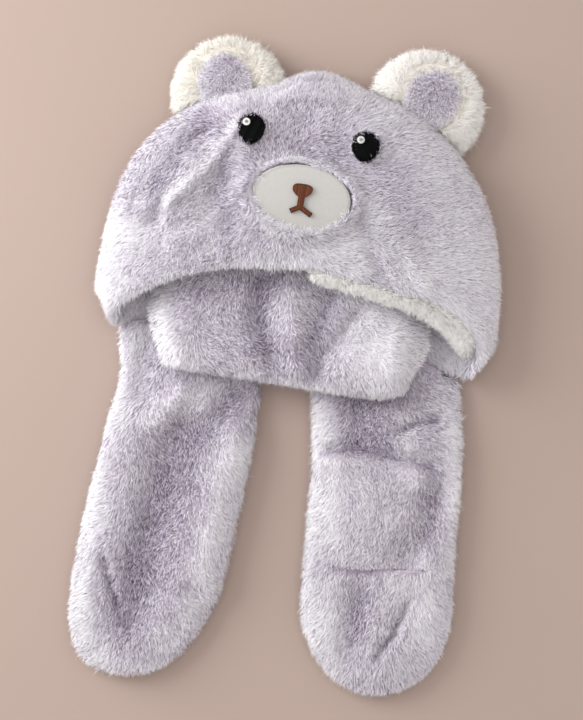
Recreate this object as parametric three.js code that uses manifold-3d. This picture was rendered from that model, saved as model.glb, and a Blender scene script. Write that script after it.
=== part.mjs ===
// A plush bear hood with two long scarf ends, lying on its back as it is put down on a table.
//
// The hood is a hollow bag of lined plush. It lies face up and its mouth points along -Y. A padded neck
// band is sewn to the lower edge of the hood's back wall, inside the mouth, and reaches out over the tops
// of the two scarf ends. The right scarf end has a hand pocket with a slit in its upper face. Two round
// ears are sewn into the crown. The eyes, muzzle, nose and mouth are sewn to the hood's upper wall.
//
// Lengths are in millimetres, +Z is up and the lying face is Z = 0. Inside a group, X runs across the
// piece and Y along it. The finished group is moved so that its origin is under the middle of its box.

import * as THREE from "three";
import { mergeVertices } from "three/addons/utils/BufferGeometryUtils.js";
import Module from "manifold-3d";

// Hood
const HOOD_WIDTH = 284; // across the widest place
const HOOD_LEFT_SHARE = 0.511; // of the width that lies left of the middle line
const HOOD_LENGTH = 190; // from the mouth's corners to the crown
const HOOD_HEIGHT = 57; // where the hood is puffed up most
const HOOD_WALL = 9; // plush with its pile outside and a plush lining inside
const HOOD_TURN = THREE.MathUtils.degToRad(-9); // how the hood lies on the table
const HOOD_SEAM_HEIGHT = 19; // of the side fold above the table
const HOOD_LEFT_SHOULDER = { along: 4.1, across: 1.6 }; // powers of the outline seen from above
const HOOD_RIGHT_SHOULDER = { along: 2.7, across: 2 };
const HOOD_TOP_POWER = 2.5; // of the rounded top across the hood
const HOOD_CROWN_POWER = 3.6; // of the rounded top along the hood
const FLOOR_POWER = 4; // of the flattened side that lies on the table
const FLATTENED = 3; // how far the lying side would sink, were the table not there
const RIM_LENGTH = 58; // from the mouth's corners to the front rim at its middle
const NAPE_LENGTH = 4; // from the mouth's corners to the back wall's edge at its middle
const RIM_SLOPE = 0.25; // share of the front rim's arch that falls evenly to the mouth's corners
const LEFT_RIM_POWER = 3; // of the rest of the arch
const RIGHT_RIM_POWER = 8;
const CORNER_TUCK = 0.1; // share of the width that is drawn in at the mouth's corners
const CORNER_TUCK_LENGTH = 11;
const RIM_ROLL = 2; // height of the roll behind the front rim
const RIM_ROLL_WIDTH = 9;

// Neck band
const BAND_LENGTH = 104; // from its hem to the end sewn inside the hood
const BAND_THICKNESS = 20;
const BAND_SIDE_ROOM = 34; // between the band and the hood's inside at the mouth
const BAND_SHIFT = -7; // of the band's middle line from the hood's
const BAND_HEM_DROP = 25; // how far the hem hangs below the mouth's corners
const BAND_HEM_LIFT = 10; // how much higher the hem lies on the scarf ends
const RIM_ROOM = 9; // between the band and the front rim over it

// Scarf ends
const SCARF_WIDTH = 109;
const SCARF_HEIGHT = 23;
const SCARF_SEAM_SHARE = 0.4; // height of the side seam, of the scarf end's own height
const SCARF_TUCK = 8; // how far it would reach past the mouth's corners, before it is fitted to the hood
const LEFT_SCARF_LENGTH = 244;
const RIGHT_SCARF_LENGTH = 231;
const LEFT_SCARF_TURN = THREE.MathUtils.degToRad(0); // from the hood's own direction
const RIGHT_SCARF_TURN = THREE.MathUtils.degToRad(6.6);
const LEFT_SCARF_INSET = 4; // of its outer edge from the mouth's corner
const RIGHT_SCARF_INSET = 5;

// Hand pocket in the right scarf end
const POCKET_START = 139; // from the scarf end's sewn edge to the slit
const POCKET_DEPTH = 68;
const POCKET_WIDTH = 84;
const POCKET_CORNER = 33; // length of each rounded corner at its end
const POCKET_HEIGHT = 8;
const POCKET_FLOOR = 8; // plush under the hand
const SLIT_WIDTH = 60;
const SLIT_GAP = 9;

// Ears
const EAR_RADIUS = 39;
const EAR_THICKNESS = 25;
const EAR_DISH = 3.5; // depth of the hollow in front
const EAR_LOCKS = 20; // tufts of pile round the rim
const EAR_LOCK_LENGTH = 1.6;
const EAR_PAD_WIDTH = 37;
const EAR_PAD_LENGTH = 44;
const EAR_PAD_THICKNESS = 3.6;
const EAR_PAD_SHIFT = 9; // from the ear's middle towards its tip

// Face
const EYE_WIDTH = 18.5;
const EYE_LENGTH = 20.5;
const EYE_THICKNESS = 2.6;
const GLINT_WIDTH = 5.4;
const GLINT_THICKNESS = 0.9;
const MUZZLE_WIDTH = 69;
const MUZZLE_LENGTH = 46;
const MUZZLE_THICKNESS = 2.4;
const NOSE_WIDTH = 14;
const NOSE_LENGTH = 9;
const STEM_WIDTH = 4.2;
const STEM_LENGTH = 7;
const MOUTH_LINE_WIDTH = 3.3;
const THREAD_THICKNESS = 1.3;

// White lining rolled out at the right half of the front rim
const ROLL_WIDTH = 13; // at the mouth's corner
const ROLL_START_WIDTH = 7; // near the middle of the rim
const ROLL_START = 0.01; // as shares of the mouth's half width
const ROLL_END = 0.95;
const ROLL_DROP = THREE.MathUtils.degToRad(28); // how far it slants under the rim

// Between pieces that touch
const SEAT_GAP = 0.5;
const CUT_GAP = 0.4;

// Derived heights: the rim lies over the band, which lies on the hood's back wall.
const BAND_FLOOR = HOOD_WALL + SEAT_GAP;
const BAND_TOP = BAND_FLOOR + BAND_THICKNESS;
const RIM_HEIGHT = BAND_TOP + RIM_ROOM + HOOD_WALL;

// How far the hood is puffed up from the rim's height to its full height.
const HOOD_PUFF = [
  { along: 0.0, puff: 0.0 },
  { along: 0.3, puff: 0.1 },
  { along: 0.55, puff: 1.0 },
  { along: 0.8, puff: 0.9 },
  { along: 1.0, puff: 0.4 },
];

// Places across are shares of a piece's half width, and places along are shares of its length. The spread
// and the depth are shares of the piece's height, and a ridge has a depth below 0.
const HOOD_FOLDS = [
  { fromAcross: -0.58, fromAlong: 0.8, toAcross: -0.83, toAlong: 0.53, spread: 0.15, depth: 0.1 },
  { fromAcross: -0.83, fromAlong: 0.53, toAcross: -0.8, toAlong: 0.38, spread: 0.16, depth: 0.06 },
  { fromAcross: -0.48, fromAlong: 0.82, toAcross: -0.62, toAlong: 0.62, spread: 0.13, depth: -0.08 },
  { fromAcross: -0.62, fromAlong: 0.62, toAcross: -0.74, toAlong: 0.44, spread: 0.16, depth: -0.07 },
  { fromAcross: -0.52, fromAlong: 0.62, toAcross: -0.49, toAlong: 0.42, spread: 0.22, depth: 0.07 },
  { fromAcross: 0.73, fromAlong: 0.71, toAcross: 0.61, toAlong: 0.56, spread: 0.18, depth: 0.05 },
];
const BAND_FOLDS = [
  { fromAcross: -0.2, fromAlong: 0.72, toAcross: -0.22, toAlong: 0.3, spread: 0.4, depth: 0.16 },
  { fromAcross: 0.44, fromAlong: 0.56, toAcross: 0.22, toAlong: 0.12, spread: 0.3, depth: 0.22 },
  { fromAcross: 0.62, fromAlong: 0.46, toAcross: 0.52, toAlong: 0.14, spread: 0.6, depth: -0.1 },
];
const LEFT_SCARF_FOLDS = [
  { fromAcross: 0.68, fromAlong: 0.14, toAcross: -0.12, toAlong: 0.31, spread: 0.4, depth: 0.13 },
  { fromAcross: -0.12, fromAlong: 0.31, toAcross: -0.2, toAlong: 0.8, spread: 0.7, depth: 0.15 },
  { fromAcross: 0.6, fromAlong: 0.31, toAcross: 0.46, toAlong: 0.75, spread: 0.55, depth: -0.08 },
  { fromAcross: -0.66, fromAlong: 0.71, toAcross: -0.55, toAlong: 0.87, spread: 0.3, depth: 0.14 },
];
const RIGHT_SCARF_FOLDS = [
  { fromAcross: -0.67, fromAlong: 0.27, toAcross: 0.1, toAlong: 0.29, spread: 0.22, depth: 0.14 },
  { fromAcross: 0.1, fromAlong: 0.29, toAcross: 0.67, toAlong: 0.31, spread: 0.22, depth: 0.12 },
  { fromAcross: 0.23, fromAlong: 0.19, toAcross: 0.72, toAlong: 0.16, spread: 0.2, depth: 0.1 },
  { fromAcross: 0.73, fromAlong: 0.36, toAcross: 0.58, toAlong: 0.55, spread: 0.35, depth: 0.13 },
  { fromAcross: 0.48, fromAlong: 0.74, toAcross: -0.09, toAlong: 0.92, spread: 0.2, depth: 0.1 },
];

// Half widths of the neck band and heights of its top, from its hem at 0 to its sewn end at 1.
const BAND_ROWS = [
  { along: 0.0, width: 0.86, lift: 1.0 },
  { along: 0.16, width: 0.91, lift: 0.9 },
  { along: 0.34, width: 1.0, lift: 0.2 },
  { along: 0.5, width: 1.0, lift: 0.0 },
  { along: 1.0, width: 0.92, lift: 0.0 },
];

// Heights and half widths of a scarf end and shifts of its middle line, from its sewn edge to its tip.
const LEFT_SCARF_ROWS = [
  { along: 0.0, height: 0.5, width: 0.97, shift: 0.03 },
  { along: 0.14, height: 0.78, width: 0.95, shift: 0.06 },
  { along: 0.3, height: 1.0, width: 0.99, shift: 0.02 },
  { along: 0.65, height: 1.0, width: 1.0, shift: -0.08 },
  { along: 1.0, height: 0.9, width: 1.0, shift: -0.07 },
];
const RIGHT_SCARF_ROWS = [
  { along: 0.0, height: 0.5, width: 1.0, shift: 0.0 },
  { along: 0.14, height: 0.8, width: 1.0, shift: 0.03 },
  { along: 0.3, height: 1.0, width: 1.0, shift: 0.06 },
  { along: 0.7, height: 1.0, width: 1.0, shift: 0.01 },
  { along: 1.0, height: 0.9, width: 1.0, shift: 0.02 },
];

// Where a scarf end's tip starts to round, where its point lies across, and the power of each side's curve.
const LEFT_TIP = { start: 0.62, point: -0.3, leftPower: 3.4, rightPower: 2 };
const RIGHT_TIP = { start: 0.71, point: 0, leftPower: 2.1, rightPower: 2.3 };
const TIP_HEIGHT_POWER = 3;
const SCARF_TOP_POWER = 2.3;

// Where each ear and each eye is, as shares of the hood's half width and length, and how an ear is turned.
const EARS = [
  { side: "left", across: -0.52, along: 0.898, turnDegrees: 16 },
  { side: "right", across: 0.455, along: 0.965, turnDegrees: -26 },
];
const EYES = [
  { side: "left", across: -0.375, along: 0.767 },
  { side: "right", across: 0.184, along: 0.765 },
];
const MUZZLE_PLACE = { across: -0.083, along: 0.545 };
const NOSE_RISE = 4.6; // from the muzzle's middle
const MOUTH_FALL = 6.6;
const MOUTH_CORNERS = [
  { across: -6.2, down: 3.6 },
  { across: 8.4, down: 4.6 },
];
const GLINT_PLACE = { across: -0.42, along: 0.38 }; // as shares of an eye's half sizes

// Steps of the meshes
const HOOD_STEPS = { top: 30, bottom: 14, rows: 17, insideRows: 9 };
const BAND_STEPS = { top: 24, bottom: 12, rows: 14 };
const SCARF_STEPS = { top: 20, bottom: 10, rows: 24 };
const ROLL_STEPS = { around: 10, rows: 20 };

const material = (color, roughness) => new THREE.MeshStandardMaterial({ color, roughness, metalness: 0 });
const LILAC_PLUSH = material("#b9adbe", 0.95);
const WHITE_PLUSH = material("#ece8df", 0.95);
const MUZZLE_FELT = material("#dcdad3", 0.9);
const BLACK_THREAD = material("#121313", 0.6);
const WHITE_THREAD = material("#e9e9e6", 0.6);
const BROWN_THREAD = material("#5d3a2a", 0.6);

const wasm = await Module();
wasm.setup();

// Rounded shares

const clamp = THREE.MathUtils.clamp;

// 1 in the middle, falling along a superellipse to 0 where the share is 1.
function rounded(share, power) {
  return Math.pow(Math.max(0, 1 - Math.abs(share) ** power), 1 / power);
}

// The value of a table's column at a place along, on a smooth curve through its rows.
function inTable(rows, column, along) {
  const last = rows.length - 1;
  const next = clamp(rows.findIndex((row) => row.along >= along), 1, last);
  const row = along >= rows[last].along ? last : next;
  const slope = (i) => {
    const before = rows[Math.max(0, i - 1)];
    const after = rows[Math.min(last, i + 1)];
    return (after[column] - before[column]) / (after.along - before.along);
  };
  const from = rows[row - 1];
  const to = rows[row];
  const span = to.along - from.along;
  const t = clamp((along - from.along) / span, 0, 1);
  const rest = 1 - t;
  return (
    from[column] * (1 + 2 * t) * rest * rest +
    to[column] * t * t * (3 - 2 * t) +
    slope(row - 1) * span * t * rest * rest -
    slope(row) * span * t * t * rest
  );
}

// How far the folds press a top in at one place. All lengths here are in millimetres.
function foldDepth(folds, sizes, x, y) {
  let depth = 0;
  for (const fold of folds) {
    const from = new THREE.Vector2(fold.fromAcross * sizes.half, fold.fromAlong * sizes.length);
    const way = new THREE.Vector2(fold.toAcross * sizes.half, fold.toAlong * sizes.length).sub(from);
    const place = new THREE.Vector2(x, y).sub(from);
    const share = clamp(place.dot(way) / way.lengthSq(), 0, 1);
    const off = place.distanceTo(way.multiplyScalar(share)) / (fold.spread * sizes.height);
    depth += fold.depth * sizes.height * Math.exp(-off * off);
  }
  return depth;
}

// Places across a section, from 1 to -1 as shares of its half width. They are closer where it turns more.
function placesAcross(steps, power, riseShare) {
  const fine = 600;
  const turnWeight = 0.35;
  const spot = (i) => {
    const cosine = Math.cos((Math.PI * i) / fine);
    const place = Math.sign(cosine) * Math.abs(cosine) ** (2 / power);
    return new THREE.Vector2(place, riseShare * rounded(place, power));
  };
  const places = [1];
  const costs = [0];
  let heading = Math.PI / 2;
  for (let i = 1; i <= fine; i += 1) {
    const way = spot(i).sub(spot(i - 1));
    costs.push(costs[i - 1] + way.length() + turnWeight * Math.abs(way.angle() - heading));
    places.push(spot(i).x);
    heading = way.angle();
  }
  return Array.from({ length: steps + 1 }, (_, step) => {
    const goal = (costs[fine] * step) / steps;
    return places[costs.findIndex((cost) => cost >= goal - 1e-9)];
  });
}

// The points round a section: {place, top} over the top from right to left and back under it.
function sectionPlaces(steps, power, riseShare) {
  const over = placesAcross(steps.top, power, riseShare).map((place) => ({ place, top: true }));
  const under = placesAcross(steps.bottom, FLOOR_POWER, riseShare)
    .reverse()
    .slice(1, -1)
    .map((place) => ({ place, top: false }));
  return [...over, ...under];
}

// The thickness of a patch at a share of its radius. Its edge is thin but not sharp.
function crowned(radius, thickness, edgeThickness, power) {
  return edgeThickness + (thickness - edgeThickness) * rounded(radius, power);
}

// Closed skins

function geometryOf(points, corners) {
  const geometry = new THREE.BufferGeometry();
  geometry.setAttribute("position", new THREE.Float32BufferAttribute(points.flat(), 3));
  geometry.setIndex(corners);
  return geometry;
}

function signedVolume(points, corners) {
  let sum = 0;
  for (let i = 0; i < corners.length; i += 3) {
    const [a, b, c] = [0, 1, 2].map((k) => new THREE.Vector3(...points[corners[i + k]]));
    sum += a.dot(b.cross(c)) / 6;
  }
  return sum;
}

// One closed skin over a row of loops with equally many points, whose two ends are single points.
function skinOver(start, loops, end) {
  const around = loops[0].length;
  const points = [start, ...loops.flat(), end];
  const corners = [];
  const at = (row, column) => 1 + row * around + (column % around);
  const last = loops.length - 1;
  for (let i = 0; i < around; i += 1) {
    corners.push(0, at(0, i), at(0, i + 1));
    for (let row = 0; row < last; row += 1) {
      corners.push(at(row, i), at(row + 1, i), at(row + 1, i + 1));
      corners.push(at(row, i), at(row + 1, i + 1), at(row, i + 1));
    }
    corners.push(at(last, i), points.length - 1, at(last, i + 1));
  }
  if (signedVolume(points, corners) < 0) corners.reverse();
  return geometryOf(points, corners);
}

// A round pad: its outline, its top and its underside are functions of the place in it.
function pad({ around, rings, edge, top, bottom }) {
  const point = (radius, angle, height) => {
    const [x, y] = edge(angle);
    return [x * radius, y * radius, height(x * radius, y * radius, radius)];
  };
  const ringOf = (radius, height) =>
    Array.from({ length: around }, (_, i) => point(radius, (2 * Math.PI * i) / around, height));
  const radii = Array.from({ length: rings }, (_, i) => Math.sin((Math.PI / 2) * ((i + 1) / rings)));
  const loops = [
    ...radii.map((radius) => ringOf(radius, top)),
    ...radii.reverse().map((radius) => ringOf(radius, bottom)),
  ];
  return skinOver(point(0, 0, top), loops, point(0, 0, bottom));
}

// Booleans

function solidOf(geometry, matrix = new THREE.Matrix4()) {
  const bare = (geometry.index ? geometry.toNonIndexed() : geometry.clone()).applyMatrix4(matrix);
  bare.deleteAttribute("normal");
  bare.deleteAttribute("uv");
  const merged = mergeVertices(bare, 1e-4);
  return new wasm.Manifold(
    new wasm.Mesh({
      numProp: 3,
      vertProperties: merged.attributes.position.array,
      triVerts: new Uint32Array(merged.index.array),
    }),
  );
}

// The geometry of the largest body of a solid, which leaves out the slivers that a cut may free.
function geometryFrom(solid) {
  const [body] = solid.decompose().sort((a, b) => b.volume() - a.volume());
  const mesh = body.getMesh();
  const geometry = new THREE.BufferGeometry();
  geometry.setAttribute("position", new THREE.BufferAttribute(new Float32Array(mesh.vertProperties), 3));
  geometry.setIndex(new THREE.BufferAttribute(new Uint32Array(mesh.triVerts), 1));
  return geometry;
}

// Hood

const HOOD_LEFT = HOOD_WIDTH * HOOD_LEFT_SHARE;
const HOOD_RIGHT = HOOD_WIDTH - HOOD_LEFT;
const HOOD_SIZES = { half: HOOD_WIDTH / 2, length: HOOD_LENGTH, height: HOOD_HEIGHT };

const cornerTuck = (y) => 1 - CORNER_TUCK * Math.exp(-((y / CORNER_TUCK_LENGTH) ** 2));

// Half the hood's width at y, on the side of x. With an inset it is the inside's.
function hoodHalf(x, y, inset = 0) {
  const widest = (x < 0 ? HOOD_LEFT : HOOD_RIGHT) - inset;
  const { along, across } = x < 0 ? HOOD_LEFT_SHOULDER : HOOD_RIGHT_SHOULDER;
  const share = clamp(y / (HOOD_LENGTH - inset), 0, 1);
  return widest * Math.pow(1 - share ** along, 1 / across) * cornerTuck(y);
}

// How far along the hood its mouth's edge lies, at a share of the half width.
function mouthEdge(place, top) {
  if (!top) return NAPE_LENGTH * (1 - place * place);
  const power = place < 0 ? LEFT_RIM_POWER : RIGHT_RIM_POWER;
  const out = Math.abs(place);
  return RIM_LENGTH * (1 - RIM_SLOPE * out - (1 - RIM_SLOPE) * out ** power);
}

function hoodTopAt(place, x, y, inset) {
  const puff = inTable(HOOD_PUFF, "puff", clamp(y / HOOD_LENGTH, 0, 1));
  const full = RIM_HEIGHT + (HOOD_HEIGHT - RIM_HEIGHT) * puff - inset;
  const end = rounded(clamp(y / (HOOD_LENGTH - inset), 0, 1), HOOD_CROWN_POWER);
  const rise = rounded(clamp(place, -1, 1), HOOD_TOP_POWER) * end;
  const fromRim = (y - mouthEdge(place, true) - RIM_ROLL_WIDTH) / RIM_ROLL_WIDTH;
  const shaped = RIM_ROLL * Math.exp(-fromRim * fromRim) - foldDepth(HOOD_FOLDS, HOOD_SIZES, x, y);
  return HOOD_SEAM_HEIGHT + (full - HOOD_SEAM_HEIGHT + shaped) * rise;
}

function hoodFloorAt(place, y, inset) {
  const end = rounded(clamp(y / (HOOD_LENGTH - inset), 0, 1), HOOD_CROWN_POWER);
  const fall = rounded(clamp(place, -1, 1), FLOOR_POWER) * end;
  const seam = HOOD_SEAM_HEIGHT - inset;
  return inset + Math.max(0, seam - (seam + FLATTENED) * fall);
}

// The height of the hood's outside over a place on it. It carries the face.
const hoodTop = (x, y) => hoodTopAt(x / hoodHalf(x, y), x, y, 0);

// One loop round the hood, at a share of the way from the mouth's edge to the crown.
function hoodLoop(share, inset, fromEdge) {
  const places = sectionPlaces(HOOD_STEPS, HOOD_TOP_POWER, HOOD_HEIGHT / HOOD_WIDTH);
  return places.map(({ place, top }) => {
    const edge = mouthEdge(place, top) + fromEdge;
    const y = edge + (HOOD_LENGTH - inset - edge) * share;
    const x = place * hoodHalf(place, y, inset);
    return [x, y, top ? hoodTopAt(place, x, y, inset) : hoodFloorAt(place, y, inset)];
  });
}

const towardsCrown = (rows) => Array.from({ length: rows }, (_, i) => Math.sin((Math.PI / 2) * (i / rows)));
const mixed = (a, b, share) => a.map((value, k) => value + (b[k] - value) * share);

// The hood as a bag with walls. grow makes it stand out all over, for cutting room in what fits round it.
function hoodShell(grow) {
  const inside = HOOD_WALL + grow;
  const lip = HOOD_WALL / 2;
  const outer = towardsCrown(HOOD_STEPS.rows).map((share) => hoodLoop(share, -grow, lip));
  const inner = towardsCrown(HOOD_STEPS.insideRows).map((share) => hoodLoop(share, inside, lip));
  const lipLoops = [0.2, 0.5, 0.8].map((share) => {
    const reach = (lip + grow) * Math.sqrt(1 - (2 * share - 1) ** 2);
    return outer[0].map((point, i) => {
      const between = mixed(point, inner[0][i], share);
      between[1] -= reach;
      return between;
    });
  });
  const outerEnd = [0, HOOD_LENGTH + grow, HOOD_SEAM_HEIGHT];
  const innerEnd = [0, HOOD_LENGTH - inside, HOOD_SEAM_HEIGHT];
  return skinOver(outerEnd, [...outer.reverse(), ...lipLoops, ...inner], innerEnd);
}

// The hood with its hollow filled, for cutting what is sewn to it from outside.
function hoodBlock(grow) {
  const outer = towardsCrown(HOOD_STEPS.rows).map((share) => hoodLoop(share, -grow, HOOD_WALL / 2));
  const mouthMiddle = [0, RIM_LENGTH / 2, HOOD_SEAM_HEIGHT];
  const block = skinOver([0, HOOD_LENGTH + grow, HOOD_SEAM_HEIGHT], outer.reverse(), mouthMiddle);
  return solidOf(block).add(solidOf(hoodShell(grow)));
}

// Scarf ends

const SCARF_HALF = SCARF_WIDTH / 2;

// What the two scarf ends and their loops are worked out from.
function scarfShape(length, rows, tip, folds) {
  const sizes = { half: SCARF_HALF, length, height: SCARF_HEIGHT };
  const tipShare = (y) => clamp((y / length - tip.start) / (1 - tip.start), 0, 1);
  const across = (place, y) => {
    const power = place < 0 ? tip.leftPower : tip.rightPower;
    const share = clamp(y / length, 0, 1);
    const half = SCARF_HALF * inTable(rows, "width", share);
    const point = tip.point * half;
    const edge = point + (Math.sign(place) * half - point) * rounded(tipShare(y), power);
    const middle = point * (1 - rounded(tipShare(y), (tip.leftPower + tip.rightPower) / 2));
    const shift = inTable(rows, "shift", share) * SCARF_HALF;
    return shift + middle + (edge - middle) * Math.abs(place);
  };
  const heightAt = (y) => SCARF_HEIGHT * inTable(rows, "height", clamp(y / length, 0, 1));
  const seamAt = (y) => heightAt(y) * SCARF_SEAM_SHARE;
  const top = (place, x, y) => {
    const height = heightAt(y);
    const seam = seamAt(y);
    const rise = rounded(place, SCARF_TOP_POWER) * rounded(tipShare(y), TIP_HEIGHT_POWER);
    return seam + (height - seam - foldDepth(folds, sizes, x, y)) * rise;
  };
  const floor = (place, y) => {
    const seam = seamAt(y);
    const fall = rounded(place, FLOOR_POWER) * rounded(tipShare(y), TIP_HEIGHT_POWER);
    return Math.max(0, seam - (seam + FLATTENED) * fall);
  };
  return { length, across, seamAt, top, floor };
}

// A scarf end with its sewn edge at Y = 0, lying towards -Y. grow makes it stand out all over.
function scarfSkin(shape, grow) {
  const places = sectionPlaces(SCARF_STEPS, SCARF_TOP_POWER, SCARF_HEIGHT / SCARF_WIDTH);
  const rows = towardsCrown(SCARF_STEPS.rows);
  const loops = rows.map((share) => {
    const y = -SCARF_TUCK + (shape.length + SCARF_TUCK) * share;
    return places.map(({ place, top }) => {
      const x = shape.across(place, y);
      const height = top ? shape.top(place, x, y) + grow : shape.floor(place, y) - grow;
      return [x + grow * place, -y, height];
    });
  });
  const end = (y, reach) => [shape.across(0, y), reach, shape.seamAt(y)];
  return skinOver(end(0, SCARF_TUCK + grow), loops, end(shape.length, -shape.length - grow));
}

// The room for a hand and its slit, in the scarf end's own frame.
function pocketRoom() {
  const half = POCKET_WIDTH / 2;
  const corner = POCKET_CORNER;
  const plan = new THREE.Shape();
  plan.moveTo(-half, 0);
  plan.lineTo(half, 0);
  plan.lineTo(half, -POCKET_DEPTH + corner);
  plan.quadraticCurveTo(half, -POCKET_DEPTH, half - corner, -POCKET_DEPTH);
  plan.lineTo(-half + corner, -POCKET_DEPTH);
  plan.quadraticCurveTo(-half, -POCKET_DEPTH, -half, -POCKET_DEPTH + corner);
  plan.closePath();
  const settings = { depth: POCKET_HEIGHT, bevelEnabled: false, curveSegments: 4 };
  const room = new THREE.ExtrudeGeometry(plan, settings).translate(0, -POCKET_START, POCKET_FLOOR);
  const slit = new THREE.BoxGeometry(SLIT_WIDTH, SLIT_GAP, SCARF_HEIGHT);
  slit.translate(0, -POCKET_START - SLIT_GAP / 2, POCKET_FLOOR + SCARF_HEIGHT / 2);
  return solidOf(room).add(solidOf(slit));
}

// Neck band

const BAND_HALF = HOOD_WIDTH / 2 - HOOD_WALL - BAND_SIDE_ROOM;
const BAND_SIZES = { half: BAND_HALF, length: BAND_LENGTH, height: BAND_THICKNESS };
const BAND_END_POWER = 5;
const BAND_END_TUCK = 0.1; // share of the half width that is drawn in at the hem and at the sewn end
const BAND_SIDE_POWER = 2.6;

// The band lies flat on the hood's back wall, and its hem is lifted by the scarf ends under it.
function bandSkin() {
  const places = sectionPlaces(BAND_STEPS, BAND_SIDE_POWER, BAND_THICKNESS / (2 * BAND_HALF));
  const liftAt = (along) => BAND_HEM_LIFT * inTable(BAND_ROWS, "lift", along);
  const seamAt = (along) => BAND_FLOOR + liftAt(along) + BAND_THICKNESS / 2;
  const loops = [];
  for (let row = 0; row <= BAND_STEPS.rows; row += 1) {
    const share = -Math.cos((Math.PI * (row + 0.5)) / (BAND_STEPS.rows + 1));
    const along = (1 + share) / 2;
    const end = rounded(share, BAND_END_POWER);
    const half = BAND_HALF * inTable(BAND_ROWS, "width", along) * (1 - BAND_END_TUCK * (1 - end));
    const seam = seamAt(along);
    const fall = seam - BAND_FLOOR - (liftAt(along) - FLATTENED) / 2;
    loops.push(
      places.map(({ place, top }) => {
        const x = place * half;
        const y = along * BAND_LENGTH;
        const power = top ? BAND_SIDE_POWER : FLOOR_POWER;
        const rise = rounded(place, power) * end;
        const press = foldDepth(BAND_FOLDS, BAND_SIZES, x, y);
        const height = top
          ? seam + (BAND_THICKNESS / 2 - press) * rise
          : Math.max(BAND_FLOOR, seam - fall * rise);
        return [x, y, height];
      }),
    );
  }
  return skinOver([0, 0, seamAt(0)], loops, [0, BAND_LENGTH, seamAt(1)]);
}

// Lining that is rolled out along the right half of the front rim

function liningRoll() {
  const step = 1e-3;
  const edge = (place) => {
    const y = mouthEdge(place, true) + HOOD_WALL / 2;
    const x = place * hoodHalf(place, y, HOOD_WALL / 2);
    return new THREE.Vector3(x, y, hoodTopAt(place, x, y, HOOD_WALL / 2));
  };
  const loops = [];
  const ends = [];
  for (let row = 0; row <= ROLL_STEPS.rows + 1; row += 1) {
    const share = row / (ROLL_STEPS.rows + 1);
    const place = ROLL_START + (ROLL_END - ROLL_START) * share;
    const half = (ROLL_START_WIDTH + (ROLL_WIDTH - ROLL_START_WIDTH) * share ** 3) / 2;
    const spacing = HOOD_WALL / 2 + CUT_GAP + half;
    const way = edge(place + step).sub(edge(place - step)).normalize();
    const out = new THREE.Vector3(way.y, -way.x, 0).normalize();
    const middle = edge(place).addScaledVector(out, spacing * Math.cos(ROLL_DROP));
    middle.z -= spacing * Math.sin(ROLL_DROP);
    if (row === 0 || row === ROLL_STEPS.rows + 1) {
      ends.push(middle.toArray());
      continue;
    }
    const side = new THREE.Vector3().crossVectors(way, out).normalize();
    const radius = half * rounded(2 * share - 1, 8);
    loops.push(
      Array.from({ length: ROLL_STEPS.around }, (_, i) => {
        const turn = (2 * Math.PI * i) / ROLL_STEPS.around;
        return middle
          .clone()
          .addScaledVector(out, radius * Math.cos(turn))
          .addScaledVector(side, radius * Math.sin(turn))
          .toArray();
      }),
    );
  }
  return skinOver(ends[0], loops, ends[1]);
}

// Ears

const EAR_HEIGHT = EAR_THICKNESS / 2 + 1; // of an ear's middle above the table

function earTop(x, y, radius) {
  const across = (2 * x) / EAR_PAD_WIDTH;
  const along = (2 * (y - EAR_PAD_SHIFT)) / EAR_PAD_LENGTH;
  const dish = EAR_DISH * Math.exp(-(across ** 4) - along ** 4);
  return (EAR_THICKNESS / 2) * rounded(radius, 2.4) - dish;
}

function earSkin() {
  const tuft = (angle) => (Math.round((angle * EAR_LOCKS) / Math.PI) % 2 ? 0 : EAR_LOCK_LENGTH);
  return pad({
    around: EAR_LOCKS * 2,
    rings: 6,
    edge: (angle) => [
      (EAR_RADIUS + tuft(angle)) * Math.cos(angle),
      (EAR_RADIUS + tuft(angle)) * Math.sin(angle),
    ],
    top: earTop,
    bottom: (x, y, radius) => -(EAR_THICKNESS / 2) * rounded(radius, 2.8),
  });
}

function earPadSkin() {
  const carrier = (x, y) => earTop(x, y + EAR_PAD_SHIFT, Math.hypot(x, y + EAR_PAD_SHIFT) / EAR_RADIUS);
  return pad({
    around: 24,
    rings: 4,
    edge: (angle) => [(EAR_PAD_WIDTH / 2) * Math.cos(angle), (EAR_PAD_LENGTH / 2) * Math.sin(angle)],
    top: (x, y, radius) =>
      carrier(x, y) + SEAT_GAP + crowned(radius, EAR_PAD_THICKNESS, EAR_PAD_THICKNESS / 6, 2.6),
    bottom: (x, y) => carrier(x, y) + SEAT_GAP,
  });
}

// Face. Each piece's own frame lies on the hood at its place, and its heights follow the hood's top.

function facePad({ place, width, length, thickness, edgeThickness, around, rings, under = 0, power = 3 }) {
  const carrier = (x, y) => hoodTop(place.x + x, place.y + y) - place.z;
  return pad({
    around,
    rings,
    edge: (angle) => [(width / 2) * Math.cos(angle), (length / 2) * Math.sin(angle)],
    top: (x, y, radius) =>
      carrier(x, y) + under + SEAT_GAP + crowned(radius, thickness, edgeThickness, power),
    bottom: (x, y) => carrier(x, y) + under + SEAT_GAP,
  });
}

function placeOnHood({ across, along }) {
  const x = (across * HOOD_WIDTH) / 2;
  const y = along * HOOD_LENGTH;
  return new THREE.Vector3(x, y, hoodTop(x, y));
}

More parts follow.
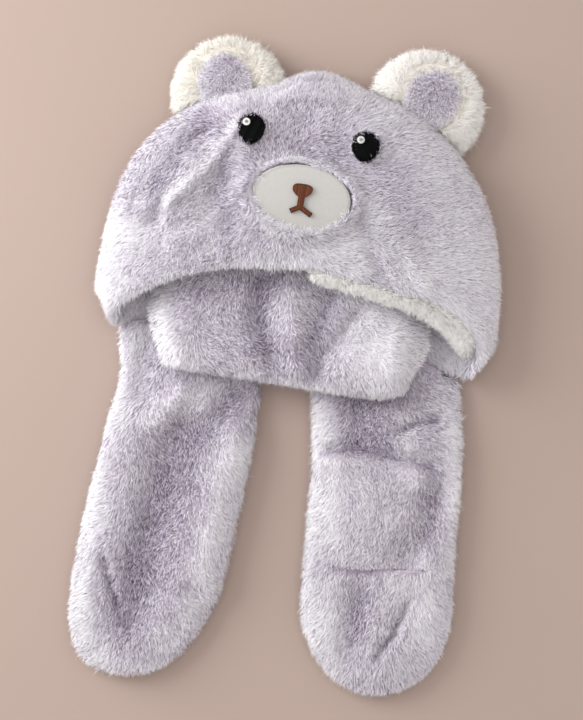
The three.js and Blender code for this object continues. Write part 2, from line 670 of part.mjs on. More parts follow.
// A nose, its stem and the two mouth lines, sewn as one patch of thread on the muzzle.
function noseAndMouthSkin(place) {
  const half = NOSE_WIDTH / 2;
  const low = NOSE_LENGTH / 2;
  const nose = new THREE.Shape();
  nose.moveTo(-half, 0.2 * low);
  nose.bezierCurveTo(-half, 1.1 * low, -0.4 * half, low, 0, low);
  nose.bezierCurveTo(0.4 * half, low, half, 1.1 * low, half, 0.2 * low);
  nose.quadraticCurveTo(0.9 * half, -0.5 * low, 0.3 * half, -low);
  nose.lineTo(-0.3 * half, -low);
  nose.quadraticCurveTo(-0.9 * half, -0.5 * low, -half, 0.2 * low);
  const settings = { depth: THREAD_THICKNESS, bevelEnabled: false, curveSegments: 5 };
  let solid = solidOf(new THREE.ExtrudeGeometry(nose, settings).translate(0, NOSE_RISE, 0));
  const fork = new THREE.Vector2(0, -MOUTH_FALL);
  const lines = [
    { to: new THREE.Vector2(0, fork.y + STEM_LENGTH), width: STEM_WIDTH },
    ...MOUTH_CORNERS.map(({ across, down }) => ({
      to: new THREE.Vector2(across, fork.y - down),
      width: MOUTH_LINE_WIDTH,
    })),
  ];
  for (const { to, width } of lines) {
    const way = to.clone().sub(fork);
    const bar = new THREE.BoxGeometry(way.length() + width / 2, width, THREAD_THICKNESS);
    bar.translate(way.length() / 2 - width / 4, 0, THREAD_THICKNESS / 2);
    bar.rotateZ(way.angle()).translate(fork.x, fork.y, 0);
    solid = solid.add(solidOf(bar));
  }
  const geometry = geometryFrom(solid);
  const spots = geometry.attributes.position;
  const rise = SEAT_GAP + MUZZLE_THICKNESS + SEAT_GAP;
  for (let i = 0; i < spots.count; i += 1) {
    const carrier = hoodTop(place.x + spots.getX(i), place.y + spots.getY(i)) - place.z;
    spots.setZ(i, spots.getZ(i) + carrier + rise);
  }
  return geometry;
}

// Assembly

function named(name, geometry, look) {
  const mesh = new THREE.Mesh(geometry, look);
  mesh.name = name;
  geometry.computeVertexNormals();
  return mesh;
}

const bearHood = new THREE.Group();
const hoodFrame = new THREE.Group();
hoodFrame.rotation.z = HOOD_TURN;
bearHood.add(hoodFrame);
hoodFrame.add(named("hood_shell", hoodShell(0), LILAC_PLUSH));
hoodFrame.add(named("lining_roll", liningRoll(), WHITE_PLUSH));

const hoodCutter = hoodBlock(CUT_GAP);
const mouthHalf = { left: HOOD_LEFT * cornerTuck(0), right: HOOD_RIGHT * cornerTuck(0) };
const scarfCutters = [];
const SCARVES = [
  {
    name: "left_scarf_end",
    shape: scarfShape(LEFT_SCARF_LENGTH, LEFT_SCARF_ROWS, LEFT_TIP, LEFT_SCARF_FOLDS),
    x: -(mouthHalf.left - LEFT_SCARF_INSET - SCARF_HALF),
    turn: LEFT_SCARF_TURN,
  },
  {
    name: "right_scarf_end",
    shape: scarfShape(RIGHT_SCARF_LENGTH, RIGHT_SCARF_ROWS, RIGHT_TIP, RIGHT_SCARF_FOLDS),
    x: mouthHalf.right - RIGHT_SCARF_INSET - SCARF_HALF,
    turn: RIGHT_SCARF_TURN,
    pocket: true,
  },
];
for (const { name, shape, x, turn, pocket } of SCARVES) {
  const frame = new THREE.Group();
  frame.position.x = x;
  frame.rotation.z = turn;
  frame.updateMatrix();
  const toFrame = frame.matrix.clone().invert();
  let solid = solidOf(scarfSkin(shape, 0)).subtract(hoodCutter.transform(toFrame.elements));
  if (pocket) solid = solid.subtract(pocketRoom());
  frame.add(named(name, geometryFrom(solid), LILAC_PLUSH));
  hoodFrame.add(frame);
  scarfCutters.push(solidOf(scarfSkin(shape, CUT_GAP), frame.matrix));
}

const bandFrame = new THREE.Group();
bandFrame.position.set(BAND_SHIFT, -BAND_HEM_DROP, 0);
bandFrame.updateMatrix();
let bandSolid = solidOf(bandSkin(), bandFrame.matrix);
for (const cutter of scarfCutters) bandSolid = bandSolid.subtract(cutter);
const bandGeometry = geometryFrom(bandSolid).applyMatrix4(bandFrame.matrix.clone().invert());
bandFrame.add(named("neck_band", bandGeometry, LILAC_PLUSH));
hoodFrame.add(bandFrame);

for (const { side, across, along, turnDegrees } of EARS) {
  const frame = new THREE.Group();
  frame.position.set((across * HOOD_WIDTH) / 2, along * HOOD_LENGTH, EAR_HEIGHT);
  frame.rotation.z = THREE.MathUtils.degToRad(turnDegrees);
  frame.updateMatrix();
  const toHood = frame.matrix;
  const toEar = toHood.clone().invert();
  const cut = (geometry) =>
    geometryFrom(solidOf(geometry, toHood).subtract(hoodCutter)).applyMatrix4(toEar);
  frame.add(named(`${side}_ear`, cut(earSkin()), WHITE_PLUSH));
  const padFrame = earPadSkin().translate(0, EAR_PAD_SHIFT, 0);
  frame.add(named(`${side}_ear_pad`, cut(padFrame), LILAC_PLUSH));
  hoodFrame.add(frame);
}

for (const { side, across, along } of EYES) {
  const place = placeOnHood({ across, along });
  const eye = facePad({
    place,
    width: EYE_WIDTH,
    length: EYE_LENGTH,
    thickness: EYE_THICKNESS,
    edgeThickness: EYE_THICKNESS / 3,
    around: 20,
    rings: 3,
  });
  const eyeMesh = named(`${side}_eye`, eye, BLACK_THREAD);
  eyeMesh.position.copy(place);
  hoodFrame.add(eyeMesh);
  const offset = {
    x: (GLINT_PLACE.across * EYE_WIDTH) / 2,
    y: (GLINT_PLACE.along * EYE_LENGTH) / 2,
  };
  const glintX = place.x + offset.x;
  const glintY = place.y + offset.y;
  const glintPlace = new THREE.Vector3(glintX, glintY, hoodTop(glintX, glintY));
  const glint = facePad({
    place: glintPlace,
    width: GLINT_WIDTH,
    length: GLINT_WIDTH,
    thickness: GLINT_THICKNESS,
    edgeThickness: GLINT_THICKNESS / 2,
    around: 12,
    rings: 2,
    under: EYE_THICKNESS + SEAT_GAP,
  });
  const glintMesh = named(`${side}_eye_glint`, glint, WHITE_THREAD);
  glintMesh.position.copy(glintPlace);
  hoodFrame.add(glintMesh);
}

const muzzlePlace = placeOnHood(MUZZLE_PLACE);
const muzzle = facePad({
  place: muzzlePlace,
  width: MUZZLE_WIDTH,
  length: MUZZLE_LENGTH,
  thickness: MUZZLE_THICKNESS,
  edgeThickness: MUZZLE_THICKNESS / 2,
  around: 32,
  rings: 5,
  power: 6,
});
const muzzleMesh = named("muzzle_patch", muzzle, MUZZLE_FELT);
muzzleMesh.position.copy(muzzlePlace);
hoodFrame.add(muzzleMesh);
const noseMesh = named("nose_and_mouth", noseAndMouthSkin(muzzlePlace), BROWN_THREAD);
noseMesh.position.copy(muzzlePlace);
hoodFrame.add(noseMesh);

// The origin is on the table, under the middle of the part's box.
bearHood.updateMatrixWorld(true);
const box = new THREE.Box3().setFromObject(bearHood, true);
const middle = box.getCenter(new THREE.Vector3());
hoodFrame.position.set(-middle.x, -middle.y, -box.min.z);

export default bearHood;
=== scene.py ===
"""Looks of a plush bear hood with scarf ends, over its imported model.

Smooth skins of cloth replace the plush solids, and the pile stands on them as bare strands. The face is
felt and satin stitches. Lengths are in metres unless a name ends in _MM. +Z is up, and the hood lies on
Z = 0 with its crown towards +Y. Angles of the pile are in degrees from +X, seen from above.
"""

import math

import bpy
import numpy as np
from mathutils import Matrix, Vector
from mathutils.bvhtree import BVHTree
from mathutils.kdtree import KDTree


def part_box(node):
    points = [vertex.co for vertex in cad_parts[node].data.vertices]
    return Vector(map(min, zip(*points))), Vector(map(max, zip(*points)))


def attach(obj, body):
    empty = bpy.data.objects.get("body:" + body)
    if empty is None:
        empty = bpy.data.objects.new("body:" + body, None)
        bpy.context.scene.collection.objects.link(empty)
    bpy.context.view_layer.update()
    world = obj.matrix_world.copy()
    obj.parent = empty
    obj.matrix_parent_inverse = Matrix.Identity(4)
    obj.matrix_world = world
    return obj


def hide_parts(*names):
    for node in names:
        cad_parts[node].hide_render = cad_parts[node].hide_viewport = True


MM = 0.001
PILE_DEPTH = 3.5 * MM  # how far the cloth lies under the solid's surface

# The slit of the hand pocket: its middle and half its length in mm, and its turn in degrees.
SLIT = {"x": 67.0, "y": -143.3, "half": 33.0, "turn": -2.4, "open": 7.5, "left_open": 0.6}

# How the pile lies, as (x mm, y mm, degrees, ruffled). Ruffled is 0 where it is brushed flat, up to 1.
HOOD_NAP = [
    (-75, 168, 225, 0.5), (-86, 151, 240, 0.6), (-62, 140, 235, 0.5), (-48, 189, 115, 0.3),
    (-23, 197, 100, 0.3), (5, 193, 88, 0.3), (40, 196, 80, 0.3), (61, 186, 60, 0.3),
    (82, 172, 30, 0.3), (5, 172, 70, 0.9), (33, 165, 45, 0.6), (-20, 143, 140, 0.8),
    (-37, 140, 210, 0.5), (-36, 113, 188, 0.5), (-51, 105, 215, 0.8), (-99, 116, 235, 0.8),
    (-118, 95, 200, 0.0), (-125, 53, 200, 0.0), (-106, 51, 255, 0.4), (-92, 66, 238, 0.6),
    (-62, 81, 240, 0.9), (-39, 81, 262, 0.8), (-24, 93, 225, 0.6), (-20, 73, 250, 0.4),
    (-5, 88, 228, 0.6), (10, 73, 290, 0.3), (20, 83, 335, 0.2), (40, 83, 5, 0.1),
    (60, 98, 22, 0.2), (65, 113, 8, 0.3), (60, 133, 0, 0.2), (30, 145, 320, 0.5),
    (5, 151, 75, 0.7), (54, 165, 20, 0.3), (73, 139, 20, 0.3), (96, 142, 0, 0.2),
    (103, 151, 0, 0.2), (108, 121, -5, 0.2), (125, 116, 15, 0.3), (131, 130, -10, 0.1),
    (96, 110, 5, 0.2), (84, 86, 35, 0.3), (113, 93, 8, 0.3), (108, 69, 8, 0.1),
    (131, 75, 0, 0.0), (70, 68, -30, 0.6), (84, 60, -30, 0.5), (99, 49, -35, 0.3),
    (125, 34, -40, 0.2), (143, 34, -10, 0.0), (143, 16, -45, 0.1), (133, -1, -72, 0.2),
]
BAND_NAP = [
    (-86, 41, 195, 0.0), (-84, 14, 215, 0.0), (-67, 47, 235, 0.6), (-43, 47, 238, 0.8),
    (-37, 32, -38, 0.6), (-49, 9, -22, 0.5), (-32, -3, -62, 0.4), (-69, 2, 255, 0.2),
    (-15, 46, 250, 0.6), (-4, 35, 240, 0.3), (15, 35, -25, 0.5), (3, 12, -80, 0.8),
    (-15, 14, -60, 0.9), (10, -12, -75, 0.4), (35, 40, -60, 0.4), (59, 28, -35, 0.3),
    (47, 5, -68, 0.4), (73, 11, -30, 0.3), (91, 11, -5, 0.0), (87, 28, 0, 0.1),
    (64, -12, -80, 0.3), (82, -15, -72, 0.2), (40, -14, -88, 0.4),
]
LEFT_END_NAP = [
    (-113, -28, 215, 0.1), (-86, -45, -50, 0.8), (-34, -28, 240, 0.6), (-48, -63, -70, 0.4),
    (-25, -63, -45, 0.2), (-104, -98, 250, 0.5), (-135, -98, 200, 0.0), (-78, -115, 235, 0.9),
    (-65, -94, -80, 0.9), (-43, -115, -60, 0.4), (-27, -122, -30, 0.2), (-121, -159, 250, 0.5),
    (-144, -164, 205, 0.0), (-83, -157, -85, 0.8), (-51, -168, -60, 0.5), (-39, -192, -40, 0.3),
    (-104, -203, -95, 0.6), (-69, -199, -65, 0.6), (-132, -206, 225, 0.1), (-93, -217, -90, 0.3),
]
RIGHT_END_NAP = [
    (31, -36, 220, 0.2), (66, -36, -80, 0.9), (101, -54, -45, 0.6), (120, -45, -20, 0.2),
    (57, -80, -60, 0.6), (83, -89, 240, 0.6), (106, -106, -70, 0.7), (122, -98, -25, 0.1),
    (40, -115, 250, 0.3), (19, -106, 205, 0.0), (75, -119, 240, 0.5), (48, -159, 260, 0.5),
    (83, -168, 250, 0.5), (110, -168, -60, 0.3), (120, -178, -30, 0.1), (26, -185, 225, 0.2),
    (57, -220, -92, 0.4), (33, -213, 235, 0.3), (96, -211, -55, 0.3),
]
ROLL_NAP = [(10, 60, 250, 0.8), (60, 50, 255, 0.8), (100, 35, 240, 0.8), (125, 5, 265, 0.8), (135, 10, 320, 0.8)]

# Folds of the cloth under the pile: places in mm along each, how wide it spreads, and how deep it is.
# A ridge has a depth below 0.
HOOD_FOLDS = [
    ([(-30, 163), (-48, 139), (-79, 112)], 3.6, -2.8),
    ([(-48, 166), (-63, 156)], 2.4, 3.0),
    ([(-52, 157), (-65, 147), (-81, 120), (-88, 102)], 6, 4.2),
    ([(-37, 130), (-42, 116), (-37, 102)], 7, 2.8),
    ([(-29, 121), (-50, 97), (-73, 82)], 7, -2.0),
    ([(-9, 137), (-24, 118)], 7, 3.0),
    ([(12, 167), (12, 145)], 9, 2.2),
    ([(49, 100), (67, 66)], 6, 4.0),
    ([(71, 97), (98, 55)], 9, -2.8),
]
BAND_FOLDS = [
    ([(-10, 64), (-17, 36), (-6, 4)], 8, 7.0),
    ([(5, 51), (8, 24)], 7, -3.0),
    ([(32, 47), (20, 9)], 10, 5.0),
    ([(50, 35), (38, 19), (23, -4)], 6, 7.0),
    ([(81, 20), (70, -11)], 14, -6.5),
    ([(-84, 45), (-71, 2)], 7, -3.0),
    ([(-46, 24), (-29, 11)], 14, 2.0),
]
LEFT_END_FOLDS = [
    ([(-30, -16), (-57, -47)], 7, 5.0),
    ([(-72, -45), (-87, -93), (-99, -134), (-105, -176)], 15, 6.5),
    ([(-32, -51), (-44, -93), (-52, -134), (-52, -162)], 12, -4.5),
    ([(-71, -14), (-85, -38)], 7, -3.5),
    ([(-126, -134), (-122, -151), (-116, -168)], 2.6, 5.0),
    ([(-63, -156), (-46, -174)], 8, 4.0),
    ([(-96, 14), (-99, -16)], 8, 3.5),
]
RIGHT_END_FOLDS = [
    ([(55, -18), (57, -49)], 15, 5.0),
    ([(34, -56), (48, -54), (72, -59), (88, -64), (104, -69)], 2.6, 5.5),
    ([(29, -67), (72, -71), (101, -80)], 6, -3.0),
    ([(81, -45), (93, -40), (107, -37)], 2.8, 5.5),
    ([(108, -79), (101, -114), (84, -131)], 9, 3.8),
    ([(88, -166), (78, -187), (65, -204)], 2.6, 5.0),
    ([(55, -153), (46, -203)], 10, 4.0),
    ([(32, -139), (57, -141), (77, -142), (99, -142)], 2.4, 3.0),
]

# Painted light and shade on the pile: places in mm along each stretch, how wide it spreads, and how much paler it
# is painted. Below 0 is painted shade in creases, in hollows and under the rim and the roll; above 0 is painted
# light on lit ridges and sides. Part of it is also the pile's own look: closed pile is pale, and parted pile shows
# its darker roots.
HOOD_PAINTED_SHADING = [
    ([(-117, 48), (-112, 88), (-101, 122), (-81, 153)], 19, 0.09),
    ([(-89, 50), (-89, 44)], 7, 0.25),
    ([(-89, 95), (-66, 86), (-52, 101)], 13, 0.2),
    ([(-33, 165), (-50, 142), (-79, 114)], 4.5, 0.2),
    ([(-56, 164), (-73, 148), (-88, 126)], 7, -0.4),
    ([(-54, 174), (-41, 163)], 7, -0.4),
    ([(-38, 139), (-41, 115)], 7, -0.3),
    ([(-29, 118), (-34, 95)], 6, -0.15),
    ([(-10, 147), (12, 152), (32, 147)], 11, -0.12),
    ([(45, 144), (76, 128), (82, 101)], 20, -0.25),
    ([(59, 74), (79, 70), (121, 32)], 9, 0.15),
    ([(-66, 66), (12, 70)], 6, 0.12),
    ([(14, 195), (33, 194)], 5, -0.2),
    ([(4, 184), (42, 182)], 5, -0.15),
    ([(-46, 172), (-22, 177)], 5, -0.15),
]
BAND_PAINTED_SHADING = [
    ([(42, 11), (70, 5)], 15, 0.33),
    ([(61, 36), (47, 27)], 7, 0.25),
    ([(-14, 48), (-14, 14)], 7, -0.2),
    ([(27, 43), (21, 17)], 7, -0.22),
    ([(-85, 36), (-75, 2)], 6, 0.16),
    ([(-67, -6), (-9, -17), (36, -19)], 5.5, 0.4),
    ([(-63, 53), (-36, 56), (-3, 62), (32, 53)], 6, -0.2),
]
LEFT_END_PAINTED_SHADING = [
    ([(-107, 21), (-119, -24), (-131, -72), (-139, -134), (-141, -189)], 7, 0.18),
    ([(-61, -55), (-81, -89), (-97, -134), (-114, -179)], 13, -0.3),
    ([(-35, -65), (-49, -114), (-61, -162), (-79, -189)], 12, 0.26),
    ([(-92, -38), (-78, -24), (-57, -21)], 9, 0.32),
    ([(-27, -18), (-50, -45)], 6, -0.15),
    ([(-132, -206), (-92, -214)], 6, 0.2),
    ([(-92, 4), (-90, -13)], 6, -0.15),
    ([(-126, -136), (-122, -153), (-117, -170)], 1.7, -0.4),
    ([(-31, -21), (-42, -34), (-54, -45)], 4, -0.15),
]
RIGHT_END_PAINTED_SHADING = [
    ([(24, -31), (17, -93), (13, -148), (20, -196)], 8, 0.25),
    ([(31, -27), (34, -65), (35, -120)], 8, 0.25),
    ([(43, -79), (84, -107)], 18, 0.14),
    ([(84, -38), (89, -79)], 8, 0.3),
    ([(119, -45), (120, -93), (117, -141)], 6, 0.35),
    ([(100, -138), (103, -169)], 7, 0.25),
    ([(32, -155), (36, -217)], 8, 0.2),
    ([(57, -159), (53, -189)], 8, -0.25),
    ([(84, -151), (98, -189)], 12, 0.28),
    ([(81, -20), (43, -27)], 8, -0.2),
    ([(106, -86), (100, -120)], 6, -0.2),
    ([(108, 23), (114, 6)], 6, -0.4),
    ([(28, -61), (48, -58), (72, -63), (88, -67), (104, -73)], 1.7, -0.5),
    ([(81, -47), (93, -42), (107, -39)], 1.6, -0.5),
    ([(88, -167), (78, -187), (65, -203)], 1.6, -0.4),
    ([(32, -31), (43, -49), (75, -51)], 9, -0.15),
]

# Where a skin reaches further out than its solid: x mm, y mm, how wide that spreads, and the way in x and y.
BAND_REACH = [(81, -23, 12, 5, 4)]
LEFT_END_REACH = [(-106, 20, 16, -5, 0), (-102, 24, 14, 0, 7), (-95, -205, 32, 0, -4)]
RIGHT_END_REACH = [(60, -215, 32, 0, -4)]
LEFT_EAR_REACH = [(-12, 192, 12, 3, -7)]
RIGHT_EAR_REACH = []
ROLL_REACH = [(118, 12, 16, 5, -1)]

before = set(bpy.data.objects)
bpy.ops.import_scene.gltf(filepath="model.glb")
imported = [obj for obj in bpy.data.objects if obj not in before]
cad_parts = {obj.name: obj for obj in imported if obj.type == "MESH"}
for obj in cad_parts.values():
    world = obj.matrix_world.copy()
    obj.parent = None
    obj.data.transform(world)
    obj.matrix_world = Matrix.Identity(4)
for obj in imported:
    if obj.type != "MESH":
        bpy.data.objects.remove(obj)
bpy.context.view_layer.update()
scene = bpy.context.scene


# Making pieces


def only(piece):
    """Selects this piece alone and makes it the active one."""
    bpy.ops.object.select_all(action="DESELECT")
    piece.select_set(True)
    bpy.context.view_layer.objects.active = piece


def modify(piece, kind, **settings):
    """Adds a modifier with these settings and applies it."""
    only(piece)
    bpy.ops.object.modifier_add(type=kind)
    modifier = piece.modifiers[-1]
    for name, value in settings.items():
        setattr(modifier, name, value)
    bpy.ops.object.modifier_apply(modifier=modifier.name)


def points_of(piece):
    points = np.empty(len(piece.data.vertices) * 3, np.float32)
    piece.data.vertices.foreach_get("co", points)
    return points.reshape(-1, 3).astype(float)


def normals_of(piece):
    normals = np.empty(len(piece.data.vertices) * 3, np.float32)
    piece.data.vertices.foreach_get("normal", normals)
    return normals.reshape(-1, 3).astype(float)


def move_points(piece, points):
    piece.data.vertices.foreach_set("co", points.astype(np.float32).ravel())
    piece.data.update()


def unit(vectors):
    return vectors / np.maximum(np.linalg.norm(vectors, axis=-1, keepdims=True), 1e-9)


def shades_smooth(piece):
    piece.data.polygons.foreach_set("use_smooth", np.ones(len(piece.data.polygons), bool))
    piece.data.update()


def cloth_of(node, name, voxel=2.6 * MM, smooth=6):
    """An even, smooth skin in the shape of a CAD node."""
    piece = bpy.data.objects.new(name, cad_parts[node].data.copy())
    scene.collection.objects.link(piece)
    piece.data.materials.clear()
    only(piece)
    bpy.ops.object.mode_set(mode="EDIT")
    bpy.ops.mesh.select_all(action="SELECT")
    bpy.ops.mesh.remove_doubles(threshold=0.01 * MM)
    bpy.ops.object.mode_set(mode="OBJECT")
    modify(piece, "REMESH", mode="VOXEL", voxel_size=voxel)
    modify(piece, "SMOOTH", factor=0.5, iterations=smooth)
    shades_smooth(piece)
    return piece


def distance_to_path(flat, path):
    """How far each place is from a path of straight lines, all in mm."""
    nearest = np.full(len(flat), np.inf)
    for start, end in zip(path[:-1], path[1:]):
        start, way = np.array(start, float), np.subtract(end, start).astype(float)
        share = np.clip(((flat - start) @ way) / (way @ way), 0, 1)
        nearest = np.minimum(nearest, np.linalg.norm(flat - start - share[:, None] * way, axis=1))
    return nearest


def sum_of_rows(points, table):
    """What the rows of a table add up to at each place: each value is full on its path and fades beside it."""
    flat = points[:, :2] / MM
    total = np.zeros(len(points))
    for path, spread, value in table:
        total += value * np.exp(-((distance_to_path(flat, path) / spread) ** 2))
    return total


def fold(piece, table, moved):
    """Presses soft folds into a skin. moved is 1 at the points that they move, and 0 at the others."""
    points = points_of(piece)
    points[:, 2] -= sum_of_rows(points, table) * moved * MM
    move_points(piece, points)


def reach_out(piece, table):
    """Draws parts of a skin sideways, a little past its solid."""
    points = points_of(piece)
    for x, y, spread, across, along in table:
        away = np.linalg.norm(points[:, :2] / MM - (x, y), axis=1)
        near = np.exp(-((away / spread) ** 2))[:, None]
        points[:, :2] += near * np.array([[across, along]]) * MM
    move_points(piece, points)


def filled(piece, most, free):
    """Blows a pad up with its filling, by a short simulation. No point moves further than most, and free is
    0 at the points that stay where they are."""
    before = points_of(piece)
    only(piece)
    bpy.ops.object.modifier_add(type="CLOTH")
    cloth = piece.modifiers[-1]
    cloth.settings.use_pressure = True
    cloth.settings.uniform_pressure_force = 4
    cloth.settings.effector_weights.gravity = 0
    for number in range(1, 21):
        scene.frame_set(number)
    bpy.ops.object.modifier_apply(modifier=cloth.name)
    scene.frame_set(1)
    moves = points_of(piece) - before
    moves[:, :2] *= 0.4
    far = np.linalg.norm(moves, axis=1, keepdims=True)
    move_points(piece, before + moves * np.minimum(1, most / np.maximum(far, 1e-9)) * free[:, None])


def ruffle(piece, nap, moved, height=0.9 * MM, size=9 * MM):
    """Small uneven swells, so that ruffled pile catches the light in patches."""
    points, normals = points_of(piece), normals_of(piece)
    swell = wander(points, size, 5) * nap_at(points, nap)[1] * height * moved
    move_points(piece, points + normals * swell[:, None])


def sink(piece, depth, where=None):
    """Draws the skin in, so that the pile on it reaches as far out as the solid did. The sides are drawn in
    less, because the pile there lies along them."""
    normals = normals_of(piece)
    share = (0.45 + 0.55 * np.abs(normals[:, 2])) * (1.0 if where is None else where)
    points = points_of(piece) - normals * depth * share[:, None]
    points[:, 2] = np.maximum(points[:, 2], 0.1 * MM)
    move_points(piece, points)


def worn_by(piece, slot, *nodes):
    """Fixes a finished piece to the only body, and hides the nodes that it stands for. The slot, what it is made
    of, is not used.
    """
    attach(piece, "root")
    if nodes:
        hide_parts(*nodes)


# Skins


def facing_hollow(piece, reach):
    """Which faces of a hollow skin face its own inside, found by looking out along their normals."""
    mesh = piece.data
    tree = BVHTree.FromPolygons([v.co for v in mesh.vertices], [p.vertices for p in mesh.polygons])
    inner = np.zeros(len(mesh.polygons), bool)
    for number, face in enumerate(mesh.polygons):
        hit = tree.ray_cast(face.center + face.normal * 1.0 * MM, face.normal, reach)
        inner[number] = hit[0] is not None
    return inner


def share_of_faces(piece, chosen):
    """For each point, the share of its faces that are chosen."""
    mesh = piece.data
    corners = np.empty(len(mesh.loops), np.int32)
    mesh.loops.foreach_get("vertex_index", corners)
    sizes = np.empty(len(mesh.polygons), np.int32)
    mesh.polygons.foreach_get("loop_total", sizes)
    face_of_corner = np.repeat(np.arange(len(sizes)), sizes)
    total = np.bincount(corners, chosen[face_of_corner].astype(float), len(mesh.vertices))
    return total / np.maximum(np.bincount(corners, minlength=len(mesh.vertices)), 1)


# Pile


def wander(points, size, seed):
    """A smooth, seeded noise from -1 to 1 that changes over about this size."""
    rng = np.random.default_rng(seed)
    value = np.zeros(len(points))
    for _ in range(5):
        wave = rng.normal(size=3)
        wave = wave / np.linalg.norm(wave) * rng.uniform(0.6, 1.6) * math.tau / (size * 2.2)
        value += np.sin(points @ wave + rng.uniform(0, math.tau))
    return value / 2.6


def lock_of(points, size, seed):
    """The tuft that each strand belongs to: its middle, and four seeded numbers from 0 to 1."""
    cell = np.floor(points / size).astype(np.int64)
    key = (cell[:, 0] * 73856093) ^ (cell[:, 1] * 19349663) ^ (cell[:, 2] * 83492791) ^ seed
    numbers = []
    for step in range(7):
        mixed = (key * (2654435761 + 97 * step) + 12345 * step) & 0xFFFFFFFF
        mixed = (mixed ^ (mixed >> 15)) * 2246822519 & 0xFFFFFFFF
        numbers.append(((mixed ^ (mixed >> 13)) & 0xFFFFFF) / 0xFFFFFF)
    numbers = np.stack(numbers, 1)
    middle = (cell + 0.2 + 0.6 * numbers[:, :3]) * size
    return middle, numbers[:, 3:]


def nap_at(points, nap, reach=12.0):
    """The way the pile is brushed at each place and how ruffled it is, from the nearest rows of a table."""
    rows = np.array(nap, float)
    angle = np.radians(rows[:, 2])
    arrows = np.stack([np.cos(angle), np.sin(angle)], 1)
    flat = points[:, :2] / MM
    away = ((flat[:, None, :] - rows[None, :, :2]) ** 2).sum(2)
    weight = 1 / (away + reach**2) ** 2
    ruffled = weight @ rows[:, 3] / weight.sum(1)
    return unit(weight @ arrows), ruffled


def roots_on(piece, count, seed, share, outer):
    """Seeded places on a skin, with their normals. share gives how thick the pile is at each face, and
    outer is 1 at each point of the skin's outside."""
    mesh = piece.data
    mesh.calc_loop_triangles()
    corners = np.empty(len(mesh.loop_triangles) * 3, np.int32)
    mesh.loop_triangles.foreach_get("vertices", corners)
    corners = corners.reshape(-1, 3)
    points, normals = points_of(piece), normals_of(piece)
    a, b, c = (points[corners[:, k]] for k in range(3))
    area = np.linalg.norm(np.cross(b - a, c - a), axis=1)
    middle = (a + b + c) / 3
    facing = unit(np.cross(b - a, c - a))
    weight = area * share(middle, facing, outer[corners].min(1))
    rng = np.random.default_rng(seed)
    picked = rng.choice(len(corners), count, p=weight / weight.sum())
    first, second = rng.random(count), rng.random(count)
    over = first + second > 1
    first[over], second[over] = 1 - first[over], 1 - second[over]
    third = 1 - first - second
    mix = np.stack([first, second, third], 1)[:, :, None]
    place = (points[corners[picked]] * mix).sum(1)
    normal = unit((normals[corners[picked]] * mix).sum(1))
    return place, normal


